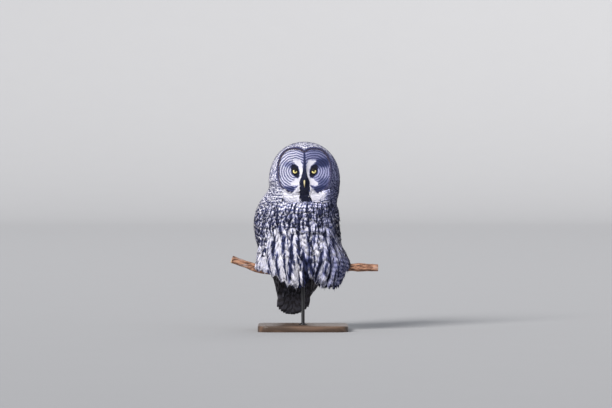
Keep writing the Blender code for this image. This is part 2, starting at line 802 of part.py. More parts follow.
def locks(dice, low, high, tiers):
    """Tiers of locks between two turns in degrees, kept clear of the seams with their neighbours."""
    made = []
    for tier, (top, length, count) in enumerate(tiers):
        width = LOCK_OVERLAP * math.radians(high - low) / count * STRIP_RADIUS
        for k in range(count):
            turn = low + (high - low) * (k + 0.5 + dice.uniform(-0.12, 0.12)) / count
            tip_turn = turn * 1.04
            tips = float(spline(TIPS, tip_turn)[0])
            end = tips if length is None else max(top - length, tips)
            end += dice.uniform(-0.004, 0.003)
            lift = -0.0016 + 0.0005 * tier + 0.0009 * (k % 2) + dice.uniform(-0.0002, 0.0002)
            root = (top + dice.uniform(-0.004, 0.004), math.radians(turn))
            tip = (end, math.radians(tip_turn))
            seams = np.radians([low + dice.uniform(0, 0.4), high - dice.uniform(0, 0.4)])
            made.append(lock(dice, root, tip, width, lift, seams))
    return made


def make_plumage():
    dice = np.random.default_rng(11)
    for name, low, high, top, columns, tiers, wing in PLUMAGE:
        pad = link(name, *plumage(low + 0.5, high - 0.5, top, columns), PALE)
        operate(pad, locks(dice, low, high, tiers), "UNION", "MANIFOLD")
        cut(pad, trunk_cutter(), *(wing_pad(side, GAP * 1.6) for side in wing))


# The tail


def tail_frame():
    """Root, unit vectors along the tail, across it and out of its upper face, and its length."""
    root, tip = np.array(TAIL_ROOT), np.array(TAIL_TIP)
    length = np.linalg.norm(tip - root)
    along = (tip - root) / length
    across = np.array([1.0, 0.0, 0.0])
    return root, along, across, np.cross(across, along), length


def tail_points(share, aside, lift):
    """World points at a share of the tail's length, a distance to its left and a lift off its top."""
    root, along, across, out, length = tail_frame()
    share, aside, lift = np.broadcast_arrays(share, aside, lift)
    points = root + share[..., None] * length * along
    points = points + aside[..., None] * across + lift[..., None] * out
    return place(*np.moveaxis(points, -1, 0))


def tail_block(grow=0.0):
    """The fleshy root of the tail under its coverts."""
    length = tail_frame()[-1]
    around = np.arange(20) * 2 * math.pi / 20
    rings = []
    for t in np.linspace(-0.96, 0.96, 11):
        size = math.sqrt(1 - t * t)
        aside = (RUMP_HALF_WIDTH * size + grow) * np.cos(around)
        lift = (RUMP_HALF_HEIGHT * size + grow) * np.sin(around) - RUMP_SINK
        rings.append(tail_points(RUMP_MIDDLE + RUMP_REACH / length * t, aside, lift))
    return ringed(rings)


def tail_blade():
    """The body of the folded tail feathers, short of their tips."""
    share = np.linspace(-1, 1, 7)[None, :]
    t = np.linspace(0.25, 0.88, 6)[:, None]
    reach = t * (1 - 0.08 * share**2 * t)
    aside = (0.018 + TAIL_FLARE * t) * share
    return patch(tail_points(reach, aside, 0.0), tail_points(reach, aside, -0.006))


def tail_vane(dice, share, start, end, width, lift):
    """One tail feather or covert. share is -1 at the right edge of the tail and 1 at its left."""
    t = start + (end - start) * VANE_STEPS
    half = width / 2 * profile((0, 0.4, 0.85, 1), (0.6, 1, 0.95, 0.38), VANE_STEPS)
    middle = (0.012 + TAIL_FLARE * t) * share + dice.uniform(-0.0005, 0.0005)
    aside = middle[:, None] + half[:, None] * np.array([-1, 1])
    rise = (lift + profile((0, 0.35, 1), (-0.002, 0, 0.0002), VANE_STEPS))[:, None]
    thick = profile((0, 0.7, 1), (0.0030, 0.0026, 0.0014), VANE_STEPS)[:, None]
    return helper(patch(tail_points(t[:, None], aside, rise), tail_points(t[:, None], aside, rise - thick)))


def make_tail():
    dice = np.random.default_rng(8)
    tail = link("tail", *tail_block(), SLATE)
    made = [helper(tail_blade())]
    middle = (TAIL_FEATHERS - 1) / 2
    for k in range(TAIL_FEATHERS):
        share = (k - middle) / middle
        lift = 0.0022 * (1 - abs(share)) + 0.0003 * (k % 2)
        made.append(tail_vane(dice, share, 0.30, 1.0 - 0.09 * share**2, 0.017, lift))
    for k, share in enumerate((-0.67, 0.0, 0.67)):
        made.append(tail_vane(dice, share, 0.34, 0.62 - 0.08 * share**2, 0.020, 0.0044 + 0.0004 * (k % 2)))
    operate(tail, made, "UNION", "MANIFOLD")
    cut(tail, trunk_cutter())


# Legs, feet and claws


def perch_height(x):
    return spline(PERCH_LINE, x)[0]


def perch_shape(grow=0.0):
    """The branch, a little thicker at its knots."""
    steps = 22
    x = np.linspace(PERCH_LEFT, PERCH_RIGHT, steps)
    path = np.stack([x, PERCH_Y + PERCH_SWAY * np.sin(x * 31), PERCH_Z + perch_height(x)], -1)
    radii = PERCH_RADIUS * (1 + 0.07 * (x - PERCH_LEFT)) + 0.0002 * np.sin(x * 90)
    for at, height, reach in KNOTS:
        radii = radii + height * np.exp(-(((x - at) / reach) ** 2))
    if grow:
        path[0, 0] -= grow
        path[-1, 0] += grow
    return tube(path, radii + grow, 12)


def toe_line(foot_x, side, toe, first, last, steps):
    """Points along a toe as it wraps round the branch, from one share of its length to another."""
    _, near, far, start, end = toe
    shares = np.linspace(first, last, steps)
    x = foot_x + side * (near + (far - near) * np.minimum(shares, 1.3))
    turn = np.radians(start + (end - start) * shares)
    y = PERCH_Y - TOE_REACH * np.cos(turn)
    z = PERCH_Z + perch_height(x) + TOE_REACH * np.sin(turn)
    return np.stack([x, y, z], -1)


def make_leg(word, side, foot):
    """The feathered leg, upright over the foot, cut back from the trunk."""
    t = np.linspace(0, 1, 7)
    splay = side * LEG_SPACING / 2 * 0.15 * (1 - t) ** 2
    path = foot + np.stack([splay, 0 * t, (LEG_TOP - ANKLE) * (1 - t)], -1)
    leg = link(f"leg_{word}", *tube(path, LEG_RADIUS * (1.0 - 0.28 * t), 16, 1.1, (0.0, 1.0, 0.0)), PALE)
    cut(leg, trunk_cutter())


def make_foot(word, side, foot):
    """A feathered foot, two toes in front of the branch and two behind, and its four claws."""
    flat = (1.0, 0.0, 0.0)
    path = foot - np.array([[0, 0, GAP], [0, 0, 0.005], [0, 0, 0.012]])
    pad = link(f"foot_{word}", *tube(path, FOOT_RADII, 10, 1.15, (0.0, 1.0, 0.0)), PALE)
    toes = []
    for toe in TOES:
        toes.append(helper(tube(toe_line(foot[0], side, toe, 0, 1, 6), TOE_RADII, 8, 1.0, flat)))
    operate(pad, toes, "UNION", "MANIFOLD")
    cut(pad, perch_shape(GAP * 1.6))
    t = np.linspace(0, 1, 7)
    sizes = CLAW_RADIUS * (1 - t**1.3) + 0.0003
    for toe in TOES:
        span = abs(toe[4] - toe[3])
        start = 1 + math.degrees(GAP * 2 / TOE_REACH) / span
        line = toe_line(foot[0], side, toe, start, start + CLAW_TURN / span, 7)
        link(f"claw_{word}_{toe[0]}", *tube(line, sizes, 6, 1.15, flat), DARK, 0.35)


def make_legs():
    for side, word in ((-1, "right"), (1, "left")):
        foot_x = side * LEG_SPACING / 2
        foot = np.array([foot_x, PERCH_Y, PERCH_Z + float(perch_height(foot_x)) + ANKLE])
        make_leg(word, side, foot)
        make_foot(word, side, foot)


# The branch and the stand


def make_perch():
    link("perch", *perch_shape(), BARK, 0.85)


def rounded_rectangle(width, depth, corner, height):
    """One level outline of the base, its corners rounded."""
    turn = np.radians(np.arange(4)[:, None] * 90 + np.linspace(0, 90, 7)[None, :])
    sx = np.array([1, -1, -1, 1])[:, None]
    sy = np.array([1, 1, -1, -1])[:, None]
    x = sx * (width / 2 - corner) + corner * np.cos(turn)
    y = sy * (depth / 2 - corner) + corner * np.sin(turn)
    return np.stack([x, y, np.full(turn.shape, height)], -1).reshape(-1, 3)


def make_stand():
    """The flat base with its edge eased, and the rod up to the underside of the branch."""
    inner = BASE_CORNER - BASE_EDGE
    rings = [
        rounded_rectangle(BASE_WIDTH, BASE_DEPTH, BASE_CORNER, 0.0),
        rounded_rectangle(BASE_WIDTH, BASE_DEPTH, BASE_CORNER, BASE_HEIGHT - BASE_EDGE),
        rounded_rectangle(BASE_WIDTH - 2 * BASE_EDGE, BASE_DEPTH - 2 * BASE_EDGE, inner, BASE_HEIGHT),
    ]
    link("stand_base", *ringed(rings), STAND_WOOD, 0.45)
    top = PERCH_Z + float(perch_height(0.0)) - PERCH_RADIUS * 0.35
    path = [(0.0, PERCH_Y, BASE_HEIGHT + GAP), (0.0, PERCH_Y, top)]
    shape = tube(path, [ROD_RADIUS, ROD_RADIUS], ROD_SIDES, 1.0, (0.0, 1.0, 0.0))
    rod = link("stand_rod", *shape, STAND_METAL, 0.35, 0.9)
    cut(rod, perch_shape(GAP))


def main():
    for old in list(bpy.data.objects):
        bpy.data.objects.remove(old)
    make_torso()
    make_neck()
    make_head()
    make_eyes()
    make_bill()
    make_wings()
    make_back()
    make_plumage()
    make_tail()
    make_legs()
    make_perch()
    make_stand()


main()
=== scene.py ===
"""A life-size great grey owl on a cut branch, held by a plain display stand.

Metres, +Z up. The owl faces -Y and its right wing is at -X. Body sizes are measured from the
middle of the branch between the feet, in the bird's own frame, as in the part's source."""

import math

import bpy
import numpy as np
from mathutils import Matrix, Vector


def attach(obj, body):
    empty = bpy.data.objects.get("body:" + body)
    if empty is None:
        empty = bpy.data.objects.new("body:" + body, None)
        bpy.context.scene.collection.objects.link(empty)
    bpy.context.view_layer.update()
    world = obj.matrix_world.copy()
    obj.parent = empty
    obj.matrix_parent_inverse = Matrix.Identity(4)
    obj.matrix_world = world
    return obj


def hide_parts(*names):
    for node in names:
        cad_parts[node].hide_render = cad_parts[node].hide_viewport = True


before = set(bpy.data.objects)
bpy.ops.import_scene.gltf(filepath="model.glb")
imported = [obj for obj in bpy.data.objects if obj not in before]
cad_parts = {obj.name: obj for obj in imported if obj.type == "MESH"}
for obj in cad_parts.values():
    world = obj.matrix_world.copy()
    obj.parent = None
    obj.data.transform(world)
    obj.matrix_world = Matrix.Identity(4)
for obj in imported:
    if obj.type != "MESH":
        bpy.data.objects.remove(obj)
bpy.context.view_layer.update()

bl_info = {
    "name": "Perched Great Grey Owl",
    "version": (1, 0, 0),
    "blender": (4, 5, 0),
    "location": "3D View > Sidebar > Owl",
    "description": "Builds the plumage, eyes, bill, claws, branch and stand of a life-size owl",
    "category": "Add Mesh",
}

# The stand and the branch
BASE_WIDTH = 0.240
BASE_DEPTH = 0.200
BASE_HEIGHT = 0.016
BASE_CORNER = 0.030
BASE_EDGE = 0.003
ROD_RADIUS = 0.0045
PERCH_Y = -0.012
PERCH_Z = 0.166
PERCH_RADIUS = 0.0092
PERCH_LEFT = -0.190
PERCH_RIGHT = 0.200
PERCH_SWAY = 0.0015
KNOTS = ((0.150, 0.0016, 0.012), (-0.128, 0.0013, 0.014))
PERCH_LINE = (
    (-0.220, 0.036), (-0.151, 0.0106), (-0.103, -0.005), (-0.050, -0.0065), (0.000, -0.004),
    (0.050, 0.000), (0.125, 0.003), (0.230, 0.001),
)

# How the bird sits
BODY_TURN = math.radians(8)
LEAN = (
    (-0.150, 0.000), (0.020, 0.000), (0.080, -0.010), (0.130, -0.015), (0.175, -0.010),
    (0.210, 0.001), (0.260, 0.003),
)

# Trunk: height, half width, reach forward, reach back
TRUNK = (
    (0.040, 0.066, 0.060, 0.068), (0.052, 0.090, 0.086, 0.094), (0.072, 0.098, 0.098, 0.104),
    (0.100, 0.100, 0.103, 0.105), (0.130, 0.098, 0.103, 0.101), (0.156, 0.096, 0.101, 0.096),
    (0.183, 0.094, 0.095, 0.090), (0.205, 0.090, 0.084, 0.083), (0.232, 0.074, 0.060, 0.068),
)
TRUNK_SQUARENESS = 2.15

# Folded wings and back: height, half width, middle, reach back
MANTLE = (
    (-0.110, 0.040, 0.212, 0.238), (-0.080, 0.052, 0.165, 0.222), (-0.040, 0.068, 0.097, 0.195),
    (0.000, 0.090, 0.040, 0.165), (0.040, 0.106, 0.005, 0.141), (0.080, 0.112, 0.000, 0.127),
    (0.120, 0.112, 0.000, 0.118), (0.156, 0.106, 0.000, 0.106), (0.190, 0.096, 0.000, 0.093),
)

# Hanging plumage: height, half width, reach forward
APRON = (
    (-0.055, 0.106, 0.072), (-0.020, 0.120, 0.087), (0.010, 0.127, 0.099), (0.035, 0.121, 0.107),
    (0.065, 0.110, 0.109), (0.100, 0.102, 0.106), (0.130, 0.097, 0.103),
)

# Lowest feather tips round the belly: turn in degrees and height
TIPS = (
    (-112, 0.020), (-96, 0.012), (-78, -0.004), (-60, -0.012), (-45, -0.028), (-30, -0.046),
    (-15, -0.048), (0, -0.032), (12, -0.034), (28, -0.046), (60, -0.050), (72, -0.036), (84, 0.004),
    (98, 0.016), (112, 0.024),
)

# Leading edge of the folded wing: height and turn in degrees
WING_LEAD = ((0.030, 96), (0.045, 84), (0.060, 75), (0.100, 68), (0.168, 62))

# The head, in its own frame
HEAD_X = 0.0040
HEAD_Y = -0.012
HEAD_Z = 0.235
HEAD_HALF_WIDTH = 0.092
HEAD_UP = 0.100
HEAD_DOWN = 0.075
HEAD_FRONT = 0.070
HEAD_BACK = 0.080
HEAD_ROUND = 2.1
FACE_ROUND = 3.0
BACK_ROUND = 2.2
FACE_Z = 0.024
EYE_SPACING = 0.0496
EYE_RADIUS = 0.0105
EYE_OPENING = 0.0066
PUPIL_RISE = 0.0009
DISH_RADIUS = 0.046
DISH_DEPTH = 0.011
DISC_MIDDLE = 0.026
DISC_HALF_WIDTH = 0.0435
DISC_HALF_HEIGHT = 0.059
DISC_ROUND = 2.4
RIM_HEIGHT = 0.0045
RIDGE_HEIGHT = 0.007
RIDGE_WIDTH = 0.011

# The tail
TAIL_ROOT = (0.0, 0.060, 0.110)
TAIL_TIP = (0.0, 0.225, -0.139)
TAIL_FLARE = 0.024
TAIL_FEATHERS = 12
TAIL_LENGTH = 0.2987
VANES_START = 0.26
RUMP_MIDDLE = 0.30
RUMP_REACH = 0.080
RUMP_HALF_WIDTH = 0.036
RUMP_HALF_HEIGHT = 0.015
RUMP_SINK = 0.006

# Legs, toes, claws and bill
LEG_SPACING = 0.058
LEG_TOP = 0.066
ANKLE = 0.0250
LEG_RADIUS = 0.0165
TOE_RADIUS = 0.0058
TOE_REACH = PERCH_RADIUS + TOE_RADIUS + 0.0012
CLAW_RADIUS = 0.0026
CLAW_TURN = 62
TOES = (
    ("front_inner", -0.004, -0.013, 78, -22),
    ("front_outer", 0.005, 0.011, 78, -26),
    ("rear_inner", -0.004, -0.010, 102, 196),
    ("rear_outer", 0.005, 0.014, 102, 200),
)
BILL_TOP = -0.014
BILL_TIP = -0.0405
BILL_HALF_WIDTH = 0.0062
BILL_REACH = 0.021
BILL_HOOK = math.radians(112)

EYE_HEIGHT = HEAD_Z + FACE_Z + PERCH_Z
WING_RADIUS = 0.125
BELLY_RADIUS = 0.118
NAPE_TURN = 1.75
DISC_SPACING = 0.00105
RING_SPACING = 0.0062
WAVE = 6.2832


# Surfaces of the body


def spline(rows, at):
    """Cubic Hermite curves through the rows, whose slopes are the central differences there."""
    table = np.array(rows, float)
    x, y = table[:, 0], table[:, 1:]
    slope = np.gradient(y, x, axis=0)
    at = np.clip(np.asarray(at, float), x[0], x[-1])
    i = np.clip(np.searchsorted(x, at, side="right") - 1, 0, len(x) - 2)
    h = x[i + 1] - x[i]
    t = ((at - x[i]) / h)[..., None]
    h = h[..., None]
    value = (
        (2 * t**3 - 3 * t**2 + 1) * y[i]
        + (t**3 - 2 * t**2 + t) * h * slope[i]
        + (3 * t**2 - 2 * t**3) * y[i + 1]
        + (t**3 - t**2) * h * slope[i + 1]
    )
    return np.moveaxis(value, -1, 0)


def smooth(value):
    """3v squared less 2v cubed, with v held between 0 and 1."""
    value = np.clip(value, 0, 1)
    return value * value * (3 - 2 * value)


def bump(value, middle, reach):
    """A bell of height 1: e to the minus square of the distance in reaches."""
    return np.exp(-(((value - middle) / reach) ** 2))


def place(x, y, z):
    """Bird frame to world: turned by BODY_TURN, leaned by height, lifted to the branch."""
    x, y, z = np.broadcast_arrays(x, y, z)
    (lean,) = spline(LEAN, z)
    c, s = math.cos(BODY_TURN), math.sin(BODY_TURN)
    return np.stack([x * c - y * s + lean, x * s + y * c + PERCH_Y, z + PERCH_Z], -1)


def mantle(z, turn, grow=0.0):
    """Level half ellipses of the folded wings: sine across, cosine back, widths by height."""
    half_width, middle, back = spline(MANTLE, z)
    x = (half_width + grow) * np.sin(turn)
    return place(x, middle - (back - middle + grow) * np.cos(turn), z)


def wider(a, b, reach):
    """The larger of two radii, filleted by a square where they lie within reach of each other."""
    h = np.clip(1 - np.abs(a - b) / reach, 0, None)
    return np.maximum(a, b) + h * h * reach / 4


def edge_along(inside, high, rounds):
    """How far each ray runs from 0 towards high before it leaves a region, by halving."""
    low = np.zeros_like(high)
    for _ in range(rounds):
        middle = (low + high) / 2
        within = inside(middle)
        low, high = np.where(within, middle, low), np.where(within, high, middle)
    return low


def head_radius(z, turn):
    """Level distance from the body's axis to the plain head, halved in on from its own formula."""
    height = z - HEAD_Z
    level = np.abs(height / np.where(height > 0, HEAD_UP, HEAD_DOWN)) ** HEAD_ROUND
    (lean,) = spline(LEAN, z)

    def inside(r):
        x = r * np.sin(turn) + lean - HEAD_X
        y = -r * np.cos(turn)
        front = (np.abs(y) / HEAD_FRONT) ** FACE_ROUND
        back = (np.abs(y) / HEAD_BACK) ** BACK_ROUND
        return np.abs(x / HEAD_HALF_WIDTH) ** HEAD_ROUND + level + np.where(y < 0, front, back) < 1

    return edge_along(inside, np.full_like(level, 0.14), 20)


def hull_radius(z, turn):
    """The filleted largest of trunk, head, hanging plumage and folded wings, by height and turn."""
    s, c = np.sin(turn), np.cos(turn)
    side = np.degrees(np.abs((turn + math.pi) % (2 * math.pi) - math.pi))
    half_width, front, back = spline(TRUNK, z)
    n = TRUNK_SQUARENESS
    body = (np.abs(s / half_width) ** n + np.abs(c / np.where(c > 0, front, back)) ** n) ** (-1 / n)
    half_width, middle, back = spline(MANTLE, z)
    deep = back - middle
    p, q = (s / half_width) ** 2 + (c / deep) ** 2, c * middle / deep**2
    root = np.sqrt(np.clip(q * q - p * (middle**2 / deep**2 - 1), 0, None))
    lead = spline(WING_LEAD, z)[0]
    ramp = smooth((side - lead) / 16) * smooth((0.186 - z) / 0.034)
    wings = body + ((root - q) / p - body) * ramp
    half_width, front = spline(APRON, z)
    fall = ((s / half_width) ** 2 + (c / front) ** 2) ** -0.5
    apron = body + (fall - body) * smooth((104 - side) / 24) * smooth((0.130 - z) / 0.03)
    nape = wider(body, head_radius(z, turn + BODY_TURN), 0.014)
    return wider(nape, wider(wings, apron, 0.006), 0.005)


def hull(z, turn, grow=0.0):
    """The whole body's outer form: its radius plus grow along the level ray of each turn."""
    z, turn, grow = np.broadcast_arrays(np.asarray(z, float), turn, grow)
    r = hull_radius(z, turn) + grow
    return place(r * np.sin(turn), -r * np.cos(turn), z)


def power(value, exponent):
    """The size of the value raised to the exponent, with the value's own sign."""
    return np.sign(value) * np.abs(value) ** exponent


def disc_edge(x, z):
    """0 in the middle of a facial disc and 1 on its rim: a superellipse distance."""
    across = np.abs(np.abs(x) - DISC_MIDDLE) / DISC_HALF_WIDTH
    across = np.where(np.abs(x) < DISC_MIDDLE, across * 1.05, across)
    up = np.abs(z - 0.002) / DISC_HALF_HEIGHT
    return (across**DISC_ROUND + up**DISC_ROUND) ** (1 / DISC_ROUND)


def face_relief(x, z):
    """Dishes round the eyes, a bell along the rim and a bell along the ridge down to the bill."""
    z = z - FACE_Z
    eye = np.hypot(np.abs(x) - EYE_SPACING / 2, z)
    dish = -DISH_DEPTH * np.clip(1 - (eye / DISH_RADIUS) ** 2, 0, 1) ** 1.2
    rim = RIM_HEIGHT * bump(disc_edge(x, z), 1.03, 0.075)
    fade = np.clip((0.060 - z) / 0.02, 0, 1) * np.clip((z + 0.085) / 0.03, 0, 1)
    return dish + rim + RIDGE_HEIGHT * bump(x, 0, RIDGE_WIDTH) * fade


def head_surface(turn, around, grow=0.0):
    """Superellipses about -Y: turn from mid face to nape, around from the bird's left upwards."""
    s = np.sin(turn)
    bend = 2 / HEAD_ROUND
    x = (HEAD_HALF_WIDTH + grow) * s * power(np.cos(around), bend)
    up = power(np.sin(around), bend)
    z = np.where(up > 0, HEAD_UP + grow, HEAD_DOWN + grow) * s * up
    filled = np.clip(1 - s**HEAD_ROUND, 0, 1)
    front = -(HEAD_FRONT + grow) * filled ** (1 / FACE_ROUND)
    back = (HEAD_BACK + grow) * filled ** (1 / BACK_ROUND)
    forward = np.clip(np.cos(turn) * 3, 0, 1)
    y = np.where(np.cos(turn) > 0, front, back) - forward * face_relief(x, z)
    return np.stack([x + HEAD_X, y + HEAD_Y, z + HEAD_Z + PERCH_Z], -1)


def face_point(x, z, grow=0.0):
    """The face over a point x, z from between the eyes: the superellipse's cube root and relief."""
    z = z + FACE_Z
    up = np.where(z > 0, HEAD_UP, HEAD_DOWN)
    filled = 1 - np.abs(x / HEAD_HALF_WIDTH) ** HEAD_ROUND - np.abs(z / up) ** HEAD_ROUND
    y = -HEAD_FRONT * np.clip(filled, 0, 1) ** (1 / FACE_ROUND) - face_relief(x, z) - grow
    return np.stack([x + HEAD_X, y + HEAD_Y, z + HEAD_Z + PERCH_Z], -1)


def eye_centre(side):
    """Behind the face by the leg of a right triangle of the ball's radius and its opening's."""
    surface = face_point(np.array(side * EYE_SPACING / 2), np.array(0.0))
    return surface + np.array([0.0, math.sqrt(EYE_RADIUS**2 - EYE_OPENING**2), 0.0])


def tail_points(share, aside, lift):
    """Points at a share of the tail's length, a distance to its left and a lift off its top."""
    root, tip = np.array(TAIL_ROOT), np.array(TAIL_TIP)
    length = np.linalg.norm(tip - root)
    along, across = (tip - root) / length, np.array([1.0, 0.0, 0.0])
    share, aside, lift = np.broadcast_arrays(share, aside, lift)
    points = root + share[..., None] * length * along + aside[..., None] * across
    points = points + lift[..., None] * np.cross(across, along)
    return place(*np.moveaxis(points, -1, 0))


def perch_height(x):
    """The branch's bend: its height at x over the place between the feet."""
    return spline(PERCH_LINE, x)[0]


def leg_line(side, t):
    """A leg from its top, at 0, to the ankle, at 1, and on into the foot: straight down, and
    outwards by the square of the share that is left."""
    foot_x = side * LEG_SPACING / 2
    foot = np.array([foot_x, PERCH_Y, PERCH_Z + float(perch_height(foot_x)) + ANKLE])
    splay = foot_x * 0.15 * np.clip(1 - t, 0, 1) ** 2
    return foot + np.stack([splay, 0 * t, (LEG_TOP - ANKLE) * (1 - t)], -1)


def toe_line(foot_x, side, toe, first, last, steps):
    """A toe's arc round the branch, between two shares of its length."""
    _, near, far, start, end = toe
    shares = np.linspace(first, last, steps)
    x = foot_x + side * (near + (far - near) * np.minimum(shares, 1.3))
    turn = np.radians(start + (end - start) * shares)
    y = PERCH_Y - TOE_REACH * np.cos(turn)
    return np.stack([x, y, PERCH_Z + perch_height(x) + TOE_REACH * np.sin(turn)], -1)


# Meshes


def linked(name, data):
    """A new object in the scene."""
    piece = bpy.data.objects.new(name, data)
    bpy.context.scene.collection.objects.link(piece)
    return piece


def build(name, points, faces, finish):
    """One mesh object at the origin from an array of points and an array of equal faces."""
    mesh = bpy.data.meshes.new(name)
    points = np.asarray(points, np.float32).reshape(-1, 3)
    faces = np.asarray(faces, np.int32)
    mesh.vertices.add(len(points))
    mesh.vertices.foreach_set("co", points.ravel())
    mesh.loops.add(faces.size)
    mesh.loops.foreach_set("vertex_index", faces.ravel())
    mesh.polygons.add(len(faces))
    starts = np.arange(0, faces.size, faces.shape[1], dtype=np.int32)
    mesh.polygons.foreach_set("loop_start", starts)
    mesh.polygons.foreach_set("use_smooth", np.full(len(faces), True))
    mesh.update(calc_edges=True)
    mesh.materials.append(finish)
    return linked(name, mesh)


def settle(piece, slot, *nodes):
    """Rides the piece on the one body and hides the solids it stands for. The slot is not used."""
    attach(piece, "root")
    if nodes:
        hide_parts(*nodes)


def turns(count, shift=0):
    """A full circle in equal turns, shifted by a share of one."""
    return (np.arange(count) + shift) * 2 * math.pi / count


def ring_quads(n, m, loop=False):
    """Quads between n rings of m points, and between the last and the first if they form a loop."""
    i, j = np.meshgrid(np.arange(n if loop else n - 1), np.arange(m), indexing="ij")
    ahead, beside = (i + 1) % n * m, (j + 1) % m
    return np.stack([i * m + j, i * m + beside, ahead + beside, ahead + j], -1).reshape(-1, 4)


def tube_rings(path, radii, sides, squash=1.0, up=(0.0, 0.0, 1.0)):
    """Ellipses square to a path: cosine along its side vector, sine over it."""
    path = np.asarray(path, float)
    along = np.gradient(path, axis=0, edge_order=min(2, len(path) - 1))
    along /= np.linalg.norm(along, axis=1)[:, None]
    side = np.cross(along, np.asarray(up, float))
    side /= np.linalg.norm(side, axis=1)[:, None]
    over = np.cross(side, along)
    turn = turns(sides)
    radii = np.asarray(radii, float)
    radii = radii[:, None, None] if radii.ndim == 1 else radii[:, :, None]
    return path[:, None] + radii * (
        np.cos(turn)[None, :, None] * side[:, None]
        + squash * np.sin(turn)[None, :, None] * over[:, None]
    )


def closed(rings):
    """Points and quads of a closed body. Quads round a middle point close each end."""
    rings = np.asarray(rings, float)
    n, m = rings.shape[:2]
    points = np.vstack([rings.reshape(-1, 3), rings[0].mean(0), rings[-1].mean(0)])
    k = np.arange(0, m, 2)
    low = np.stack([np.full(len(k), n * m), (k + 2) % m, (k + 1) % m, k], 1)
    base = (n - 1) * m
    ahead, after = base + (k + 1) % m, base + (k + 2) % m
    high = np.stack([np.full(len(k), n * m + 1), base + k, ahead, after], 1)
    faces = np.vstack([ring_quads(n, m), low, high])
    corner = points[faces]
    spread = np.cross(corner[:, 2] - corner[:, 0], corner[:, 3] - corner[:, 1])
    if (spread * (corner.mean(1) - points.mean(0))).sum() < 0:
        faces = faces[:, ::-1]
    return points, faces


def joined(shapes):
    """Several closed bodies as one array of points and one of faces."""
    start, points, faces = 0, [], []
    for shape_points, shape_faces in shapes:
        points.append(shape_points)
        faces.append(shape_faces + start)
        start += len(shape_points)
    return np.vstack(points), np.vstack(faces)


# Feathers


def leaf_faces(n, m):
    """Quads of a closed leaf: a grid and a second one under it that share their outline."""
    top = np.arange(n * m).reshape(n, m)
    low = top.copy()
    low[1:-1, 1:-1] = n * m + np.arange((n - 2) * (m - 2)).reshape(n - 2, m - 2)
    faces = []
    for grid, step in ((top, 1), (low, -1)):
        quads = np.stack([grid[:-1, :-1], grid[:-1, 1:], grid[1:, 1:], grid[1:, :-1]], -1)
        faces.append(quads.reshape(-1, 4)[:, ::step])
    return np.vstack(faces)


class Coat:
    """Gathers the feathers of one piece: points, quads, feather UVs, bake UVs and markings."""

    def __init__(self, tint=None):
        self.points, self.faces, self.feather = [], [], []
        self.bake, self.marks, self.form = [], [], []
        self.start, self.tint = 0, tint

    def add(self, top, under, u, v, spot, marks, form):
        """Adds closed leaves: grids shaped (feathers, along, across) and their inner undersides."""
        count, n, m = top.shape[:3]
        points = np.concatenate([top.reshape(count, -1, 3), under.reshape(count, -1, 3)], 1)
        uv = np.stack([u, v], -1)
        uv = np.concatenate([uv.reshape(count, -1, 2), uv[INNER].reshape(count, -1, 2)], 1)
        faces = leaf_faces(n, m)
        across = top[:, 1:, 1:] - top[:, :-1, :-1]
        along = top[:, 1:, :-1] - top[:, :-1, 1:]
        out = np.cross(across, along)[:, :-1, :-1]
        if (out * (top[INNER] - under)).sum() > 0:
            faces = faces[:, ::-1]
        size = points.shape[1]
        every = faces[None] + (np.arange(count) * size)[:, None, None] + self.start
        points = points.reshape(-1, 3)
        marks = np.repeat(marks, size, 0)
        self.points.append(points)
        self.faces.append(every.reshape(-1, 4))
        self.feather.append((uv * (0.5, 1.0) + (0.5, 0.0)).reshape(-1, 2))
        patch = spot[:, None] + 0.003 * (uv * (0.5, 1.0) - (0.0, 0.5))
        self.bake.append(patch.reshape(-1, 2))
        self.marks.append(marks if self.tint is None else self.tint(points, marks))
        self.form.append(np.repeat(form, size, 0))
        self.start += count * size

    def piece(self, name, finish):
        faces = np.vstack(self.faces)
        piece = build(name, np.vstack(self.points), faces, finish)
        mesh = piece.data
        for layer, parts in (("OFBake", self.bake), ("Feather", self.feather)):
            uv = np.vstack(parts)[faces.ravel()].astype(np.float32)
            mesh.uv_layers.new(name=layer).data.foreach_set("uv", uv.ravel())
        for word, parts in (("Marks", self.marks), ("Form", self.form)):
            values = np.vstack(parts).astype(np.float32)
            layer = mesh.attributes.new(word, "FLOAT_COLOR", "POINT")
            layer.data.foreach_set("color", values.ravel())
        return piece


# Profiles of a feather: share of its length and half width there
LEAF = np.array([[0, 0.35], [0.25, 0.85], [0.5, 1.0], [0.8, 0.86], [1.0, 0.42]])
POINTED = np.array([[0, 0.40], [0.25, 0.95], [0.5, 1.0], [0.8, 0.70], [1.0, 0.16]])
VANE = np.array([[0, 0.55], [0.2, 0.92], [0.6, 1.0], [0.9, 0.85], [1.0, 0.50]])

INNER = (slice(None), slice(1, -1), slice(1, -1))
WIDE = (1.0, 0.0, 0.0)
DEEP = (0.0, 1.0, 0.0)


def outline(kind, v):
    """A feather's half width by the share of its length, read between the rows of its profile."""
    return np.interp(v, kind[:, 0], kind[:, 1])


def column(value):
    return value[:, None, None]


def leaves(coat, lay, f, dice, n, m, kind, jag, thick):
    """One leaf a feather. Along and across its shaft lie its length and profile times its width;
    its lift rises from root to tip, and falls off to its edges by the square of u."""
    count = len(f["length"])
    v = np.broadcast_to(np.linspace(0, 1, n)[None, :, None], (count, n, m)).copy()
    u = np.broadcast_to(np.linspace(-1, 1, m)[None, None, :], (count, n, m))
    v[:, -1] -= jag * dice.random((count, m))
    along, side, lift = leaf_local(f, u, v, kind)
    top = lay(f, along, side, lift)
    under = lay(f, along[INNER], side[INNER], lift[INNER] - thick)
    coat.add(top, under, u, v, f["spot"], f["marks"], f["form"])


